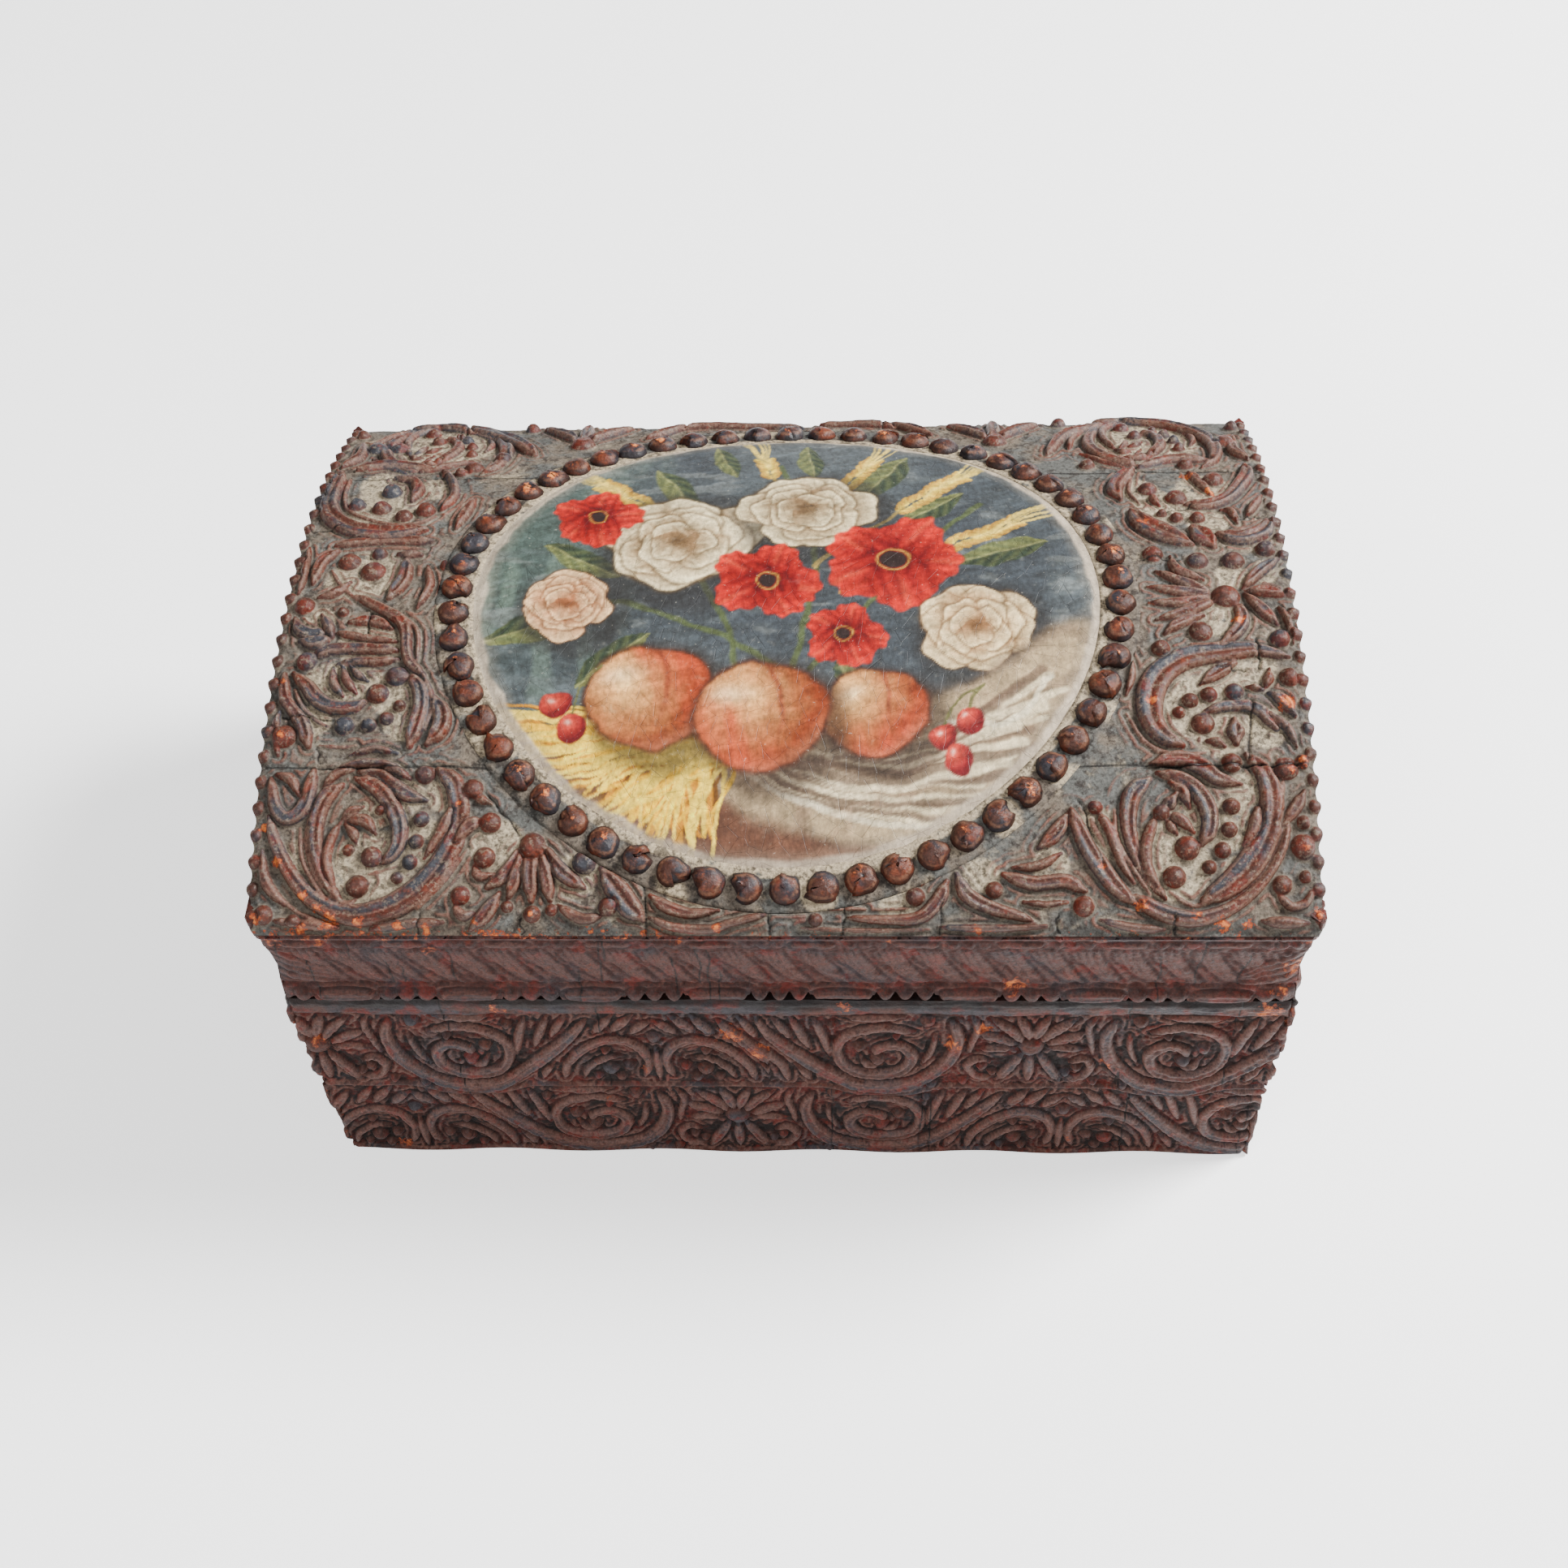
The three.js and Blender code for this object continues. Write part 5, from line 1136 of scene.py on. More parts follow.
               (-90.4, -37, -90.2, -40), (93, 22, 101, 22.4), (-76, 60, -75, 72), (20, 74, 20.4, 66),
               (60.6, -61, 57, -48), (73.8, -74, 74, -71),
               (84, -20, 90, -20.4), (52, -74, 52.2, -70), (-56, -47, -50, -55), (76, 24, 84, 26),
               (-60, -40.6, -52, -40.2)],
}


sheet = {"joint": 40.25, "gap": 0.04, "beadPitch": 5.4, "firstBead": -71, "beadAt": 101.2,
         "cornerRadius": 3.4, "thinnest": 0.25}


def makeLidField():
    field = newField((-103, -75.5), (103, 75.5), 0.22)
    for at, flip in (((78, 57), (1, -1)), ((-78, 57), (1, -1))):
        stampAll(field, cornerScroll, at, flip)
    stampAll(field, lidDesign)
    for v in np.arange(sheet["firstBead"], 1 - sheet["firstBead"], sheet["beadPitch"]):
        for end in (-1, 1):
            dot(field, end * sheet["beadAt"], v, 1.5, lift=0.75)
    cracks(field, lidDesign["cracks"], 700)
    cracks(field, [(-101, -41, -57, -41.2), (57, -41.2, 101, -41), (-101, 41, -56, 41), (56, 41, 101, 41)],
           760, 0.5)
    finishField(field, ((1.1, 0.3), (2.5, 0.2)))
    return field


lidField = makeLidField()


def onVault(across, angle, lift):
    radius = sheetFoot + lift
    return np.column_stack([across, radius * np.sin(angle), casket["vaultCentre"] + radius * np.cos(angle)])


def alongAt(y):
    # how far along the bend a place in plan lies
    return casket["vaultRadius"] * np.arcsin(np.clip(y / (sheetFoot + 1), -1, 1))


def holeAt(value, axis, sign):
    # the edge of the oval opening, in plan, at a place along the other axis
    half = [h + casket["ringWidth"] for h in casket["ovalHalf"]]
    middle = (0, casket["ovalMiddle"])
    other = 1 - axis
    inside = np.clip(1 - ((value - middle[axis]) / half[axis]) ** 2, 0, None)
    return middle[other] + sign * half[other] * np.sqrt(inside)


def sheetShape(side):
    halfX, halfY = casket["half"]
    seed = 500 + 20 * turns[side]

    def shape(s, t, flag):
        under = flag < -0.5
        if side in ("front", "back"):
            sign = -1 if side == "front" else 1
            across = s * halfX
            edge = alongAt(sign * halfY)
            open = holeAt(across, 0, sign)
            joint = alongAt(sign * np.maximum(sign * open, sheet["joint"]))
            along = edge + (joint - edge) * ((1 - sign * t) / 2)
        else:
            sign = -1 if side == "left" else 1
            limit = alongAt(sheet["joint"] - sheet["gap"])
            along = t * limit
            y = (sheetFoot + 1) * np.sin(along / casket["vaultRadius"])
            across = holeAt(y, 1, sign)
            across = across + (sign * halfX - across) * ((1 + sign * s) / 2)
        layers = readField(lidField, across, along)
        rise = layers["rise"]
        swell = 0.3 * (mottle(across, along, 12, seed, 2) - 0.5)
        grain = 0.08 * (mottle(across, along, 1.2, seed + 3, 2) - 0.5)
        lumps = 0.09 * mottle(across, along, 5, seed + 5, 2)
        rise = np.clip(rise * (1 + swell) + lumps + grain - 0.3 * layers["crack"], 0, 1)
        rise = rise * (1 - 0.7 * ease(72, 73.6, np.abs(along)) * ease(98, 100.5, np.abs(across)))
        rise[rise > 0.96 * rise.max()] = 1
        lift = np.where(under, 0, casket["sheetGround"] + (casket["sheetThick"] - casket["sheetGround"])
                        * rise)
        # the row of small beads makes the ends wavy
        beads = 0.5 + 0.5 * np.cos(2 * math.pi * (along - sheet["firstBead"]) / sheet["beadPitch"])
        end = ease(halfX - 4, halfX, np.abs(across))
        across = across - np.sign(across) * end * 0.7 * (1 - beads)
        margin = np.maximum(ease(72.4, 74.4, np.abs(along)), ease(halfX - 2.4, halfX, np.abs(across)))
        lift = np.where(under, 0, np.maximum(lift - 0.7 * margin, sheet["thinnest"]))
        points = onVault(across, along / casket["vaultRadius"], lift)
        points[:, 1] = np.clip(points[:, 1], -halfY, halfY)
        reach = halfX - cornerDrop(points[:, 1], halfY, sheet["cornerRadius"])
        points[:, 0] = np.clip(points[:, 0], -reach, reach)
        layers["rise"] = rise
        stain = np.maximum(ease(69, 73, np.abs(along)), 0.8 * ease(95, 100, np.abs(across)))
        stained = 0.38 * stain * ease(0.25, 0.6, mottle(across, along, 4, seed + 9, 3))
        layers["shade"] = np.maximum(layers["shade"], stained)
        layers["pale"] = layers["pale"] * (1 - stain)
        front = ease(-72.6, -73.6, along) * mottle(across, along * 0, 8, seed + 7,
                                                   2) * (0.3 + 0.7 * ease(20, -40, across))
        layers["worn"] = np.maximum(layers["worn"], 0.72 * front)
        return points, layers
    return shape


def buildSheets():
    for side in turns:
        columns, rows = (640, 96) if side in ("front", "back") else (156, 250)
        strips = 2 if side in ("front", "back") else 16
        mesh = fitted(f"pressed_lid_sheet_{side}", slabMesh(columns, rows, strips), sheetShape(side))
        addPiece(f"pressed_lid_sheet_{side}", mesh, lidFinish, "lid", "lid_ornament",
                 f"lid_ornament_{side}")


buildSheets()
print("lid sheets pressed")


# Arched end panels under the vault

lunette = {"thick": 2.4, "ground": 1.1, "outside": 101.0, "low": 94.1}


def lunetteField():
    field = newField((-66, 0), (66, 17), 0.25)
    for hand in (-1, 1):
        for widths, *coords in (
            ((1.2, 2, 1.2), 4, 2, 8, 9, 14, 12), ((1.2, 2.4, 1.4), 1, 2, 2, 8, 5, 14),
                                ((1.4, 2.4, 2, 1.4), 12, 2, 20, 2.4, 27, 7, 25, 11.6, 19, 11.4, 18, 7.6),
            ((1.2, 1.8, 1), 27, 7, 34, 9, 42, 6), ((1.2, 2, 1.2), 30, 3, 38, 2, 46, 4.6),
                                ((1, 1.6, 0.8), 44, 7, 50, 4.6, 57, 1.6),
        ):
            press(field, widths, *coords, flip=(hand, 1))
        for u, v, radius in ((21.6, 7.4, 1.7), (31, 5.6, 1.4), (9, 3.6, 1.5), (49, 2, 1.3), (37, 9.4, 1.2)):
            dot(field, u, v, radius, flip=(hand, 1))
    dot(field, 0, 3, 2.4)
    finishField(field)
    return field


endField = lunetteField()


def lunetteShape(side):
    inner = lunette["outside"] - lunette["thick"]
    top = sheetFoot - casket["gap"]

    def shape(s, t, flag):
        under = flag < -0.5
        crown = casket["vaultCentre"] + top
        along = s * 62.3
        roof = casket["vaultCentre"] + np.sqrt(top ** 2 - along ** 2)
        up = lunette["low"] + (roof - lunette["low"]) * (t + 1) / 2
        layers = readField(endField, along, up - lunette["low"])
        layers["rise"] = np.clip(layers["rise"] + 0.08 * mottle(along, up, 1.3, 820, 2), 0, 1)
        layers["rise"] = np.where(layers["rise"] > 0.9 * layers["rise"].max(), 1, layers["rise"])
        lift = lunette["ground"] + (lunette["thick"] - lunette["ground"]) * layers["rise"]
        out = np.where(under, inner, inner + lift)
        return turned(along, out, np.minimum(up, crown), side), layers
    return shape


for side in ("right", "left"):
    mesh = fitted(f"pressed_lid_end_{side}", slabMesh(300, 44), lunetteShape(side))
    addPiece(f"pressed_lid_end_{side}", mesh, caseFinish, "lid", "case_ornament", f"lid_lunette_{side}")
print("lid ends pressed")


# Ring of beads round the painting

beadRing = {"count": 58, "radius": 3.4, "rise": 2.6, "strip": 1.4, "turned": 0.62}


def ringMiddle(angle, offset=0.0):
    half = casket["ovalHalf"]
    wide = casket["ringWidth"] / 2 + offset
    return (half[0] + wide) * np.cos(angle), (half[1] + wide) * np.sin(angle) + casket["ovalMiddle"]


def onRing(x, y, lift):
    return onVault(x, np.arcsin(np.clip(y / (sheetFoot + beadRing["strip"]), -1, 1)), lift)


def ringStrip():
    # a low rounded section spun about the middle
    middle, radius = 3, 0.5
    bm = bmesh.new()
    upright = Matrix.Translation((middle, 0, 0)) @ Matrix.Rotation(math.pi / 2, 4, "X")
    bmesh.ops.create_circle(bm, segments=20, radius=radius, matrix=upright)
    bmesh.ops.spin(bm, geom=list(bm.verts) + list(bm.edges), cent=(0, 0, 0), axis=(0, 0, 1),
                   angle=2 * math.pi, steps=420, use_merge=True, use_duplicate=False)
    bmesh.ops.recalc_face_normals(bm, faces=bm.faces)

    def shape(x, y, z):
        angle = np.arctan2(y, x)
        radial = np.clip((np.hypot(x, y) - middle) / radius * 1.35, -1, 1)
        height = np.clip(z / radius * 1.6, -1, 1)
        px, py = ringMiddle(angle, radial * (casket["ringWidth"] / 2 + 0.1))
        grain = mottle(px, py, 2.2, 900, 3)
        lift = np.where(height > 0, beadRing["strip"] * (0.55 + 0.45 * height) - 0.3 * grain, 0)
        # the strip is darkened along its middle, under the beads, with painted shade
        layers = {**dict.fromkeys(layerNames, 0), "hollow": 0.3 * (1 - np.abs(radial)),
                  "pale": np.maximum(0.5 * ease(0.5, 0.7, mottle(px, py, 7, 905, 2)),
                                     ease(-0.55, -0.85, radial))}
        return onRing(px, py, lift), layers
    return bm, shape


def ringBeads():
    draw = np.random.default_rng(41)
    bm = bmesh.new()
    marks = []
    for number in range(beadRing["count"]):
        angle = 2 * math.pi * (number + beadRing["turned"]) / beadRing["count"]
        x, y = ringMiddle(angle, draw.uniform(-0.2, 0.2))
        size = beadRing["radius"] * draw.uniform(0.94, 1.0)
        tilt = math.asin(y / (sheetFoot + beadRing["strip"]))
        seat = onRing(np.array([x]), np.array([y]), np.array([beadRing["strip"] - 0.2]))[0]
        turn = Matrix.Rotation(-tilt, 4, "X") @ Matrix.Rotation(draw.uniform(0, 6.28), 4, "Z")
        turn = turn @ Matrix.Rotation(draw.uniform(-0.12, 0.12), 4, "X")
        place = Matrix.Translation(seat) @ turn @ Matrix.Diagonal((size, size, 0.96 * beadRing["rise"], 1))
        made = bmesh.ops.create_uvsphere(bm, u_segments=24, v_segments=14, radius=1, matrix=place)
        marks.append((len(made["verts"]), seat, tilt, draw.random(), draw.random()))

    def shape(x, y, z):
        points = np.column_stack([x, y, z])
        count = len(x)
        layers = {layer: np.zeros(count) for layer in layerNames}
        start = 0
        for verts, seat, tilt, chance, kind in marks:
            part = slice(start, start + verts)
            start += verts
            local = points[part] - seat
            up = (local[:, 1] * math.sin(tilt) + local[:, 2] * math.cos(tilt)) / beadRing["rise"]
            dent = mottle(local[:, 0] + 40, local[:, 1] + 40 + 7 * kind, 1.5, int(900 * chance) + 3, 2)
            points[part] = seat + local * (0.86 + 0.15 * dent)[:, None]
            # each bead is darkened towards its foot with painted shade, has a darker ring at mid height,
            # and a painted highlight ring above that
            layers["rise"][part] = 0.3 + 0.7 * np.clip(up, 0, 1)
            layers["hollow"][part] = ease(0.35, 0.0, up)
            layers["ridge"][part] = np.exp(-((up - 0.62) / 0.12) ** 2) * ease(0.2, 0.6, dent)
            layers["shade"][part] = np.maximum(0.5 * np.exp(-((up - 0.42) / 0.1) ** 2),
                                               0.8 * ease(0.3, 0.1, up))
            toSide = local[:, 0] * math.cos(7 * chance) + local[:, 1] * math.sin(7 * chance)
            layers["cool"][part] = ease(0, 0.9, toSide) * (kind < 0.6)
            off = local[:, :2] - np.array([0.6 * math.cos(9 * chance), 0.6 * math.sin(9 * chance)])
            spot = np.clip(1 - (off ** 2).sum(1) / (0.9 + 1.4 * kind) ** 2, 0, 1)
            layers["worn"][part] = (0.35 + 0.4 * (chance > 0.55) + 0.2 * (seat[1] > 20)) * spot * (up > 0.2)
            line = np.abs(local[:, 0] * math.cos(5 * kind) + local[:, 1] * math.sin(5 * kind))
            layers["crack"][part] = (kind > 0.7) * np.clip(1 - line / 0.3, 0, 1)
        return points, layers
    return bm, shape


ringParts = []
for kind, maker in (("strip", ringStrip), ("beads", ringBeads)):
    bm, shape = maker()
    ringParts.append(fitted(f"ring_{kind}", bm, shape))
whole = bmesh.new()
for mesh in ringParts:
    whole.from_mesh(mesh)
ringMesh = bpy.data.meshes.new("bead_ring_worn")
whole.to_mesh(ringMesh)
whole.free()
ringMesh.shade_smooth()
addPiece("bead_ring_worn", ringMesh, beadFinish, "lid", "bead_finish", "bead_ring")
print("bead ring set")


# Painted oval: flowers, fruit and corn on a slate ground, in a worn pale border

panel = {"thick": 1.6, "columns": 322, "rows": 292}


def tilted(x, y, at, size, angle):
    # coordinates of a turned oval, 1 on its edge
    cos, sin = math.cos(math.radians(angle)), math.sin(math.radians(angle))
    u, v = x - at[0], y - at[1]
    return (u * cos + v * sin) / size[0], (-u * sin + v * cos) / size[1]


def farFrom(x, y, at, size):
    return np.hypot(*tilted(x, y, at, size, 0))


def over(canvas, cover, colour):
    colour = np.asarray(colour, float)
    canvas += (colour - canvas) * np.clip(cover, 0, 1)[:, None]


def shaded(tone, light, dark):
    return np.outer(tone, light) + np.outer(1 - tone, dark)


def paintPeach(canvas, x, y, at, size, blush):
    u, v = tilted(x, y, at, (size, size * 0.94), 12)
    turn = np.arctan2(v, u)
    far = np.hypot(u, v) * (1 + 0.09 * np.exp(-((turn - 1.2) / 0.3) ** 2) - 0.03 * np.cos(2 * turn))
    inside = ease(1.0, 0.93, far)
    light = np.clip(1.0 - np.hypot(u + 0.34, v - 0.36) * 0.8 + 0.3 * (mottle(x, y, 2.6, 61, 3) - 0.5), 0, 1)
    shadow = farFrom(x, y, (at[0] + 2, at[1] - 2.4), (size * 1.05, size))
    over(canvas, ease(1.3, 0.95, shadow) * 0.65, (38, 32, 32))
    over(canvas, inside, shaded(light, (246, 186, 112), (116, 44, 22)))
    streak = mottle(u * 9 + 30, v * 2.4 + 30, 2, 63, 3)
    glow = ease(-0.1, 0.8, u * math.cos(blush) + v * math.sin(blush) + 0.5 * (streak - 0.5))
    over(canvas, inside * glow * (0.35 + 0.5 * streak), (190, 60, 36))
    seam = np.exp(-((u - 0.34 + 0.3 * (v - 0.4) ** 2) / 0.045) ** 2) * ease(-0.75, 0.1, v)
    over(canvas, inside * seam * 0.7, (112, 44, 32))
    over(canvas, inside * np.exp(-(np.hypot(u - 0.34, v - 0.86) / 0.16) ** 2) * 0.8, (70, 34, 24))
    over(canvas, inside * np.exp(-(np.hypot((u + 0.4) / 0.3, (v - 0.44) / 0.16)) ** 2) * 0.5,
         (250, 222, 180))
    over(canvas, inside * ease(0.62, 0.98, far) * ease(-0.2, -0.9, v - 0.3 * u) * 0.35, (214, 150, 120))
    over(canvas, np.exp(-((far - 0.98) / 0.05) ** 2) * 0.6, (66, 32, 26))


def paintRose(canvas, x, y, at, size, light, shade, seed):
    draw = np.random.default_rng(seed)
    shadow = farFrom(x, y, (at[0] + 1.6, at[1] - 2.2), (size * 1.05, size))
    over(canvas, ease(1.35, 1.0, shadow) * 0.6, (34, 36, 40))
    for layer, reach in enumerate((0.7, 0.52, 0.34, 0.18)):
        petals = 6 - layer
        turn = draw.uniform(0, 60)
        for petal in range(petals):
            angle = math.radians(turn + 360 * petal / petals + draw.uniform(-13, 13))
            spread = reach * draw.uniform(0.82, 1.08)
            middle = (at[0] + size * spread * math.cos(angle),
                      at[1] + size * spread * math.sin(angle) * 0.9)
            wide = size * (0.5 - 0.06 * layer) * draw.uniform(0.86, 1.15)
            u, v = tilted(x, y, middle, (size * (0.3 + 0.12 * reach), wide),
                          math.degrees(angle) + draw.uniform(-16, 16))
            far = np.hypot(u, v) * (1 + 0.05 * np.sin(5 * np.arctan2(v, u) + 3 * petal))
            inside = ease(1.0, 0.92, far)
            streak = mottle(u * 3 + 9, v * 12 + 9, 2, seed + petal, 2) - 0.5
            tone = np.clip(0.5 + 0.62 * u - 0.08 * layer + draw.uniform(-0.2, 0.16) + 0.5 * streak, 0, 1)
            over(canvas, inside * 0.96, shaded(tone, light, shade))
            over(canvas, inside * ease(0.74, 0.94, far) * ease(0, 0.5, u) * 0.75,
                 np.minimum(255, np.array(light) * 1.12))
            over(canvas, np.exp(-((far - 1) / 0.07) ** 2) * ease(-0.4, 0.4, u) * 0.5, np.array(shade) * 0.6)
    over(canvas, ease(0.2, 0.05, farFrom(x, y, at, (size, size))) * 0.8, np.array(shade) * 0.7)


def paintPoppy(canvas, x, y, at, size, seed):
    draw = np.random.default_rng(seed)
    for petal in range(5):
        angle = math.radians(72 * petal + draw.uniform(-14, 14))
        middle = (at[0] + size * 0.48 * math.cos(angle), at[1] + size * 0.44 * math.sin(angle))
        u, v = tilted(x, y, middle, (size * 0.58, size * 0.5), math.degrees(angle))
        frill = 1 + 0.06 * np.sin(9 * np.arctan2(v, u) + petal)
        far = np.hypot(u, v) / frill
        tone = np.clip(0.45 + 0.6 * u + 0.15 * np.sin(14 * v), 0, 1)
        over(canvas, ease(1.0, 0.9, far) * 0.95, shaded(tone, (200, 28, 24), (78, 8, 18)))
        over(canvas, ease(1, 0.9, far) * np.exp(-(v / 0.1) ** 2) * ease(-0.5, 0.5, u) * 0.35, (236, 96, 60))
    heart = farFrom(x, y, at, (size * 0.2, size * 0.19))
    over(canvas, ease(1.0, 0.8, heart), (34, 26, 30))
    over(canvas, ease(1.3, 1.1, heart) * ease(0.9, 1.1, heart) * 0.7, (190, 160, 60))


def paintLine(canvas, x, y, points, width, colour, strength=1.0):
    line = curveThrough(np.array([(*point, width) for point in points], float), 1.2)[:, :2]
    low, high = line.min(0) - width, line.max(0) + width
    near = np.flatnonzero((x > low[0]) & (x < high[0]) & (y > low[1]) & (y < high[1]))
    px, py = x[near], y[near]
    far = np.full(len(near), 1e9)
    for a, b in zip(line, line[1:]):
        along = b - a
        t = np.clip(((px - a[0]) * along[0] + (py - a[1]) * along[1]) / max(along @ along, 1e-9), 0, 1)
        far = np.minimum(far, np.hypot(px - a[0] - t * along[0], py - a[1] - t * along[1]))
    cover = ease(width, width * 0.45, far) * strength
    canvas[near] += (np.asarray(colour, float) - canvas[near]) * cover[:, None]


def paintLeaf(canvas, x, y, at, size, angle, light, dark):
    u, v = tilted(x, y, at, (size, size * 0.36), angle)
    far = np.abs(v) / np.clip(1 - u * u, 0.01, 1)
    inside = ease(1.02, 0.9, far) * (np.abs(u) < 1)
    tone = np.clip(0.5 + 0.5 * np.sign(v) * 0.6 + 0.2 * np.sin(16 * (u + 0.5 * np.abs(v))), 0, 1)
    over(canvas, inside * 0.92, shaded(tone, light, dark))
    over(canvas, inside * np.exp(-(v / 0.07) ** 2) * 0.6, (150, 150, 96))


def paintCorn(canvas, x, y, start, end, seed):
    draw = np.random.default_rng(seed)
    start, end = np.array(start, float), np.array(end, float)
    along = (end - start) / np.linalg.norm(end - start)
    angle = math.degrees(math.atan2(along[1], along[0]))
    paintLine(canvas, x, y, [start - along * 26, start], 0.7, (168, 138, 62), 0.9)
    length = np.linalg.norm(end - start)
    for step in np.arange(0, length, 2.1):
        for hand in (-1, 1):
            at = start + along * step + hand * 1.25 * np.array([-along[1], along[0]])
            u, v = tilted(x, y, at, (2.1, 0.95), angle + hand * 24)
            far = np.hypot(u, v)
            tone = np.clip(0.6 - 0.5 * v * hand + draw.uniform(-0.15, 0.15), 0, 1)
            over(canvas, ease(1.0, 0.8, far) * 0.95, shaded(tone, (240, 208, 72), (160, 108, 40)))
    for beard in range(9):
        side = draw.uniform(-0.34, 0.34)
        tip = end + 9 * np.array([along[0] * math.cos(side) - along[1] * math.sin(side),
                                  along[0] * math.sin(side) + along[1] * math.cos(side)])
        paintLine(canvas, x, y, [start + along * length * draw.uniform(0.3, 0.9), tip], 0.34,
                  (232, 200, 92), 0.75)


def paintCloth(canvas, x, y):
    # a pale cloth falls in folds under the fruit and over the table's edge
    draw = np.random.default_rng(90)
    for points, width in ((((-16, -36), (2, -44), (26, -47), (46, -37), (60, -22)), 8),
                          (((-6, -34), (16, -38), (38, -31), (58, -14)), 9),
                          (((8, -48), (28, -51), (46, -42)), 5), (((26, -30), (42, -24), (56, -14)), 6)):
        paintLine(canvas, x, y, points, width + 1.4, (72, 58, 52), 0.75)
        paintLine(canvas, x, y, points, width, (160, 140, 110))
    for fold in range(26):
        t = (fold + draw.uniform(-0.3, 0.3)) / 26
        start = np.array((-14 + 30 * t, -35 - 3 * math.sin(3 * t)))
        middle = np.array((6 + 26 * t, -47 + 13 * t + draw.uniform(-1.5, 1.5)))
        end = np.array((30 + 28 * draw.uniform(0.4, 1) * (0.5 + 0.5 * t),
                        -50 + 32 * t + draw.uniform(-1, 1)))
        if fold % 2:
            paintLine(canvas, x, y, (start, middle, end), draw.uniform(0.7, 1.5), (84, 68, 58), 0.75)
        else:
            paintLine(canvas, x, y, (start + (0.8, 0.9), middle + (0.6, 0.9), end), draw.uniform(0.7, 1.5),
                      (230, 214, 176), 0.85)
    for points in (((-15, -33), (0, -44), (22, -50), (40, -46), (58, -26)),
                   ((30, -30), (44, -30), (52, -20))):
        paintLine(canvas, x, y, points, 0.8, (238, 228, 198), 0.7)
    over(canvas, ease(0.62, 0.8, mottle(x, y, 3.4, 93, 3)) * ease(-20, -30, y) * ease(-14, 0, x) * 0.3,
         (150, 118, 96))


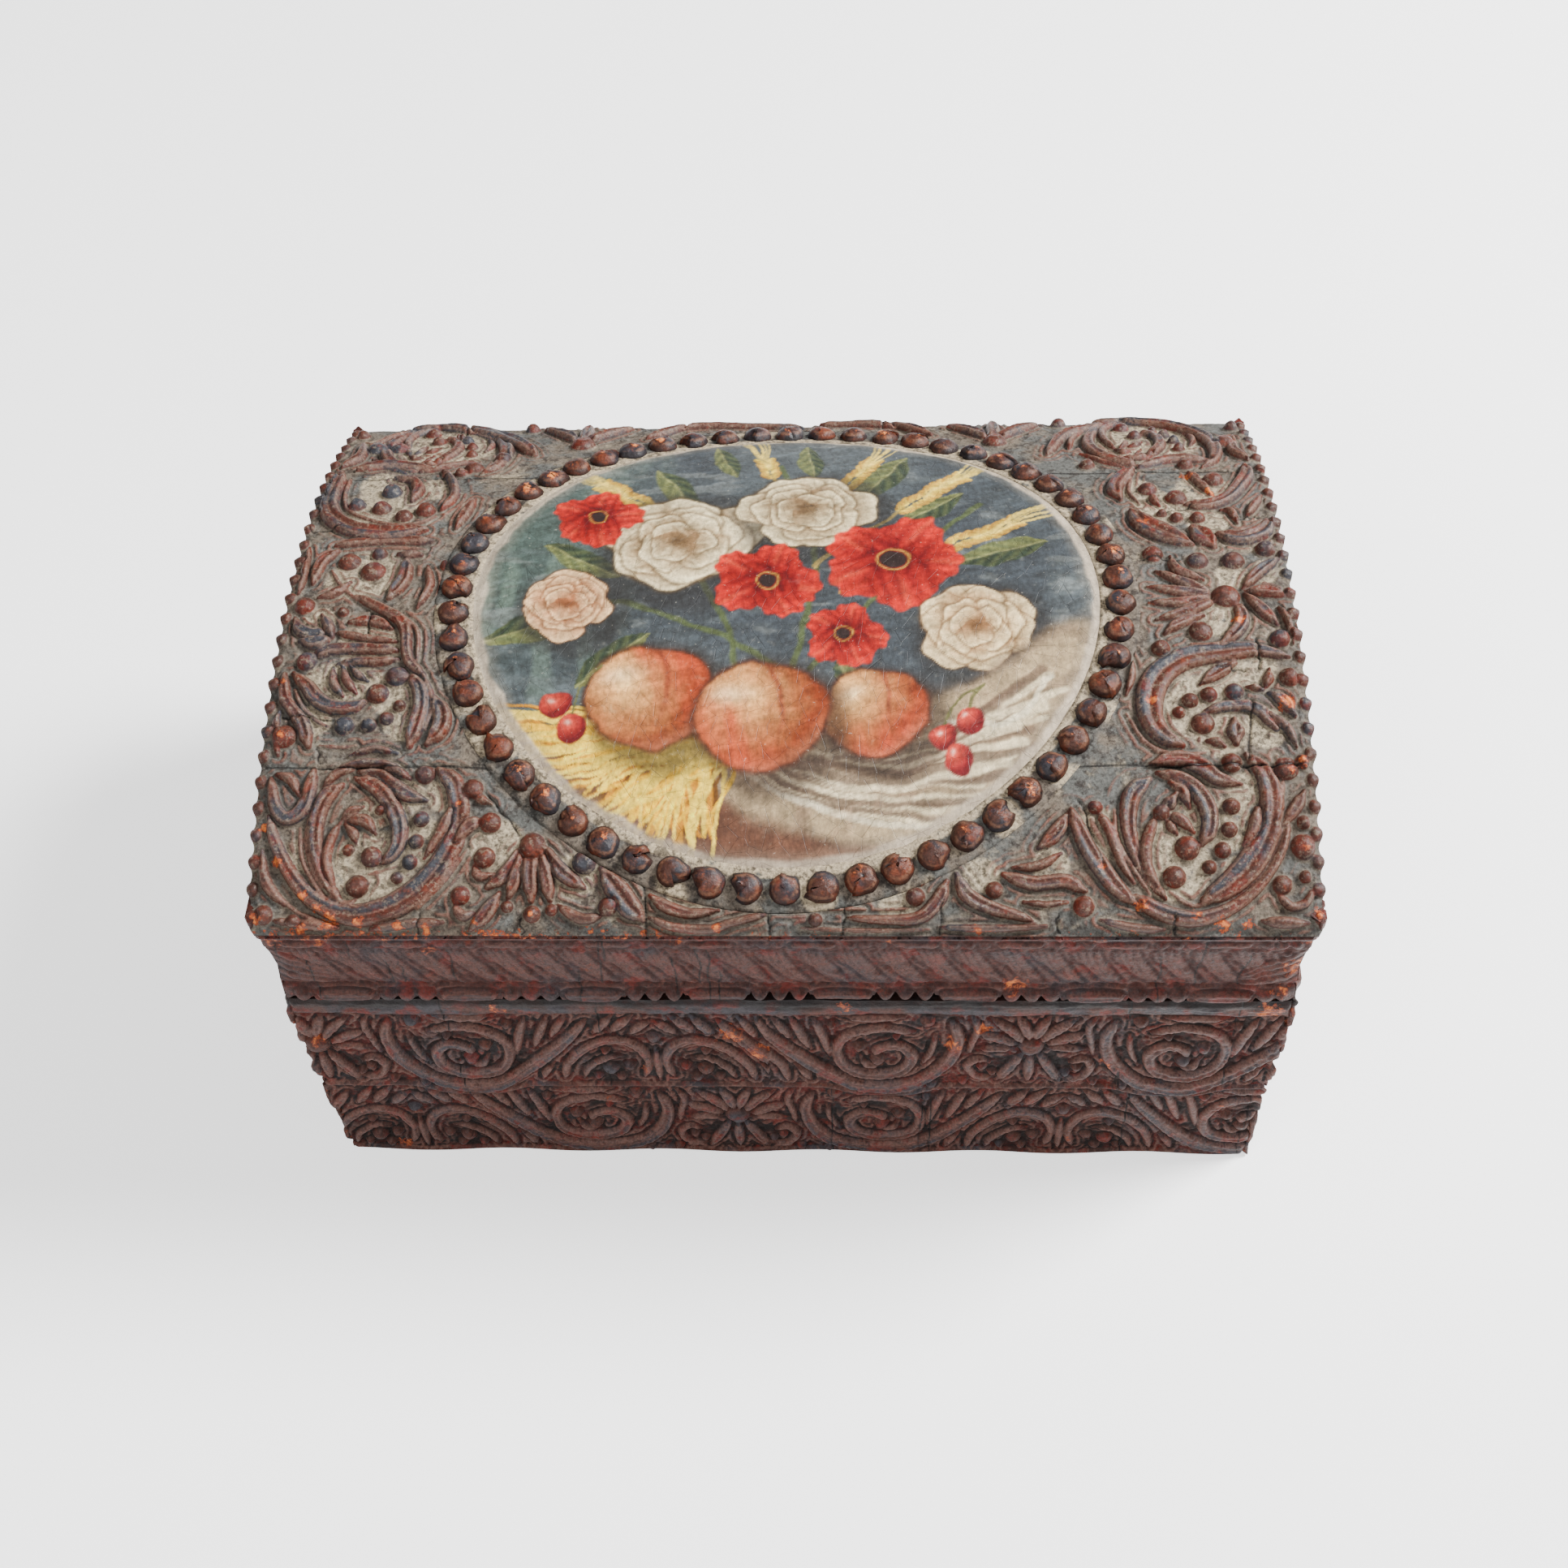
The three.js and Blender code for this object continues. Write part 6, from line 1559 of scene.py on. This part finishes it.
def paintPicture(x, y):
    # brushed contours wander a little
    x, y = x + 2.2 * (mottle(x, y, 6, 45, 3) - 0.5), y + 2.2 * (mottle(x, y, 6, 46, 3) - 0.5)
    canvas = np.zeros((len(x), 3))
    canvas[:] = (62, 72, 80)
    drift = mottle(x, y, 22, 51, 3)
    over(canvas, ease(0.35, 0.7, drift) * 0.7, (42, 50, 60))
    over(canvas, ease(-14, -58, x + 8 * drift) * 0.8 * ease(-40, 20, y), (58, 78, 74))
    over(canvas, ease(0.5, 0.72, mottle(x * 3, y * 0.7, 16, 57, 2)) * ease(-10, -60, x) * 0.5,
         (98, 122, 110))
    over(canvas, ease(0.56, 0.74, mottle(x * 0.7, y * 2.4, 10, 58, 3)) * 0.4, (88, 100, 106))
    over(canvas, ease(0.58, 0.72, mottle(x, y * 3, 7, 59, 3)) * ease(0.5, 0.7, mottle(x, y, 18, 66)) * 0.35,
         (124, 132, 132))
    over(canvas, ease(-24, -34, y + 6 * mottle(x, y, 20, 60, 2)) * 0.9, (84, 50, 38))
    over(canvas, ease(-30, -50, y) * ease(0.4, 0.8, mottle(x, y * 3, 9, 62, 3)) * 0.7, (132, 88, 66))
    # stems and leaves behind the flowers
    for points in (((-8, -20), (-18, 6), (-34, 26)), ((2, -18), (6, 14), (-2, 44)),
                   ((6, -18), (24, 8), (40, 28)), ((0, -18), (-26, -4), (-50, 2))):
        paintLine(canvas, x, y, points, 0.9, (66, 80, 52), 0.9)
    for at, size, angle in (((-42, 10), 10, 150), ((-24, 34), 10, 120), ((20, 38), 11, 60),
                            ((44, 12), 10, 20), ((40, -8), 11, -24), ((-50, -8), 11, 200),
                            ((4, 46), 8, 96), ((-34, -16), 10, 220), ((30, 26), 9, 40), ((52, -16), 8, -40),
                            ((-14, 46), 8, 110), ((14, -24), 9, -70)):
        paintLeaf(canvas, x, y, at, size, angle, (98, 106, 62), (34, 48, 40))
    for start, end, seed in (((24, 26), (36, 38), 71), ((12, 34), (18, 46), 72), ((34, 14), (48, 22), 73),
                             ((-30, 28), (-40, 36), 74), ((-4, 40), (-6, 48), 75)):
        paintCorn(canvas, x, y, start, end, seed)
    # flowers
    paintRose(canvas, x, y, (-22, 16), 15.5, (226, 210, 168), (118, 92, 66), 81)
    paintRose(canvas, x, y, (4, 26), 13.5, (218, 202, 160), (112, 88, 64), 82)
    paintPoppy(canvas, x, y, (22, 10), 14, 83)
    paintPoppy(canvas, x, y, (-40, 24), 9.5, 84)
    paintPoppy(canvas, x, y, (-4, 4), 11, 85)
    paintRose(canvas, x, y, (38, -8), 11.5, (228, 202, 154), (128, 90, 60), 86)
    paintRose(canvas, x, y, (-44, -2), 9.5, (224, 182, 136), (132, 78, 52), 87)
    paintPoppy(canvas, x, y, (12, -10), 8, 88)
    paintCloth(canvas, x, y)
    # a sheaf of straw lies on the left
    draw = np.random.default_rng(89)
    for straw in range(190):
        spread = draw.uniform(0, 1)
        root = (-16 + draw.uniform(-6, 8), -35 + draw.uniform(-3, 3))
        tip = (-58 + 44 * spread + draw.uniform(-3, 3), -25 - 27 * math.sin(1.6 * spread + 0.1)
               + draw.uniform(-4, 4))
        bend = ((root[0] + tip[0]) / 2 + draw.uniform(-2, 2), (root[1] + tip[1]) / 2 + draw.uniform(-1, 4))
        colour = [(92, 56, 22), (196, 126, 18), (246, 186, 24), (255, 216, 72)][min(3, straw // 48)]
        paintLine(canvas, x, y, (root, bend, tip), draw.uniform(0.36, 0.62), colour, 0.9)
    # fruit
    paintPeach(canvas, x, y, (-26, -24), 12.5, 0.4)
    paintPeach(canvas, x, y, (18, -27), 10.5, 5.2)
    paintPeach(canvas, x, y, (-4, -28), 13, 3.6)
    for at in ((31, -33), (36.5, -30), (34, -37.5), (-41, -31), (-44.5, -26)):
        far = farFrom(x, y, at, (3.2, 3.2))
        tone = np.clip(1 - farFrom(x, y, (at[0] - 1, at[1] + 1.1), (3.6, 3.6)), 0, 1)
        over(canvas, ease(1, 0.86, far), shaded(tone, (230, 70, 54), (96, 16, 26)))
        over(canvas, np.exp(-(np.hypot(x - at[0] + 1, y - at[1] - 1.1) / 0.6) ** 2) * 0.8, (250, 214, 200))
    for points in (((31, -30), (34, -25), (39, -22)), ((36.5, -27), (37, -24), (39, -22)),
                   ((-41, -28), (-40, -22), (-36, -18))):
        paintLine(canvas, x, y, points, 0.4, (84, 86, 52), 0.9)
    # brush drag, thick touches of light paint and old varnish
    drag = mottle(x * 0.9 + y * 0.3, y * 4 - x * 1.2, 4, 95, 3) - 0.5
    touch = mottle(x * 1.6 - y, y * 1.6 + x * 2.2, 1.5, 94, 2) - 0.5
    canvas *= (0.97 + 0.42 * drag + 0.34 * touch)[:, None]
    over(canvas, np.full(len(x), 0.08), (196, 150, 84))
    over(canvas, ease(0.78, 0.88, mottle(x, y, 1.2, 97, 2)) * 0.15, (176, 168, 152))
    return np.clip(canvas, 0, 255)


def panelShape(s, t, flag):
    under = flag < -0.5
    halfX, halfY = casket["ovalHalf"]
    u = s * np.sqrt(1 - t * t / 2)
    v = t * np.sqrt(1 - s * s / 2)
    x, y = u * halfX, v * halfY + casket["ovalMiddle"]
    far = np.hypot(u, v)
    colour = paintPicture(x, y - casket["ovalMiddle"])
    ragged = 0.03 * (mottle(x, y, 5, 98, 3) - 0.5)
    border = ease(0.958, 0.976, far + ragged)
    worn = np.outer(mottle(x, y, 3, 99, 3), (60, 56, 50)) + (146, 132, 114)
    over(colour, border * 0.92, worn)
    over(colour, ease(0.92, 0.96, far + ragged) * (1 - border) * 0.25, (140, 130, 114))
    for layer, values in zip(("red", "green", "blue"), (colour / 255).T):
        painted[layer] = values
    lift = np.where(under, 0, panel["thick"] - 0.5 * ease(0.965, 1,
                                                          far) + 0.02 * (mottle(x, y, 2, 96, 2) - 0.5))
    lift = np.minimum(lift, panel["thick"])
    return onVault(x, np.arcsin(y / sheetFoot), lift), {"border": border}


painted = {}
panelMesh = fitted("painted_oval", slabMesh(panel["columns"], panel["rows"], 20), panelShape)
paint = panelMesh.color_attributes.new("paint", "FLOAT_COLOR", "POINT")
linear = np.column_stack([painted[layer] ** 2.2 for layer in ("red", "green",
                                                              "blue")] + [np.ones(len(panelMesh.vertices))])
paint.data.foreach_set("color", linear.astype(np.float32).ravel())


def paintMaterial():
    material, tree, shader = newMaterial("oil_painting_aged")
    place = objectPlace(tree)
    colour = node(tree, "ShaderNodeVertexColor", layer_name="paint").outputs["Color"]
    border = layerOf(tree, "border")
    weave = cloud(tree, place, 1500, 4, 0.7)
    brush = cloud(tree, stretched(tree, place, (3, 1, 1), 0.5), 420, 4, 0.6)
    speck = between(tree, cloud(tree, place, 1500, 2, 0.5), 0.7, 0.78)
    values = {"Vector": place, "Scale": 260, "Randomness": 1}
    cells = node(tree, "ShaderNodeTexVoronoi", values, feature="DISTANCE_TO_EDGE").outputs[0]
    net = between(tree, cells, 0.02, 0.0, 0, 1)
    colour = mixed(tree, between(tree, brush, 0.4, 0.7, 0.0, 0.24), colour, srgb(34, 30, 30))
    colour = mixed(tree, 1.0, colour, between(tree, weave, 0.3, 0.7, 0.86, 1.16), "MULTIPLY")
    colour = mixed(tree, sums(tree, "MULTIPLY", net, 0.28), colour, srgb(24, 22, 22))
    colour = mixed(tree, sums(tree, "MULTIPLY", speck, 0.25), colour, srgb(206, 198, 180))
    height = sums(tree, "ADD", sums(tree, "MULTIPLY", brush, 0.6), sums(tree, "MULTIPLY", weave, 0.3))
    height = sums(tree, "SUBTRACT", height, sums(tree, "MULTIPLY", net, 0.5))
    wired(tree, shader, colour, between(tree, border, 0, 1, 0.46, 0.7), height, 0.4, 0.0003)
    shader.inputs["Specular IOR Level"].default_value = dullness
    return material


paintFinish = paintMaterial()
addPiece("painted_oval", panelMesh, paintFinish, "lid", "painted_wood", "painted_panel")
print("oval painted")


# The boards, hinges and screws keep their own forms

def dressNodes():
    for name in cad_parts:
        plain = bpy.data.objects.get(name)
        if plain is None or plain.type != "MESH":
            continue
        metal = name.startswith(("hinge", "case_screw", "lid_screw"))
        for slot in plain.material_slots:
            slot.material = brassFinish if metal else woodFinish


dressNodes()
print("boards and hinges finished")


# Floor, lights and surroundings

studio = {"floor": (250, 250, 250), "glow": 1.15, "key": 54, "fill": 17, "sky": 0.32}


def makeStudio(settings):
    bm = bmesh.new()
    bmesh.ops.create_grid(bm, x_segments=2, y_segments=2, size=3)
    mesh = bpy.data.meshes.new("floor")
    bm.to_mesh(mesh)
    bm.free()
    floor = bpy.data.objects.new("floor", mesh)
    material, tree, shader = newMaterial("pale_floor")
    shader.inputs["Base Color"].default_value = srgb(*settings["floor"])
    shader.inputs["Roughness"].default_value = 0.9
    shader.inputs["Emission Color"].default_value = (1, 1, 1, 1)
    seen = node(tree, "ShaderNodeLightPath").outputs["Is Camera Ray"]
    tree.links.new(sums(tree, "MULTIPLY", seen, settings["glow"]), shader.inputs["Emission Strength"])
    mesh.materials.append(material)
    bpy.context.collection.objects.link(floor)
    for name, place, size, power in (("key_light", (0.95, 0.25, 1.0), 0.55, settings["key"]),
                                     ("fill_light", (-0.5, -1.0, 1.2), 1.2, settings["fill"])):
        data = bpy.data.lights.new(name, "AREA")
        data.shape = "DISK"
        data.size = size
        data.energy = power
        lamp = bpy.data.objects.new(name, data)
        lamp.location = place
        lamp.rotation_euler = (Vector((0, 0, 0.05)) - Vector(place)).to_track_quat("-Z", "Y").to_euler()
        bpy.context.collection.objects.link(lamp)
    world = bpy.context.scene.world or bpy.data.worlds.new("studio")
    bpy.context.scene.world = world
    world.use_nodes = True
    back = world.node_tree.nodes["Background"]
    back.inputs["Color"].default_value = (1, 1, 1, 1)
    back.inputs["Strength"].default_value = settings["sky"]


makeStudio(studio)
print("studio lit")
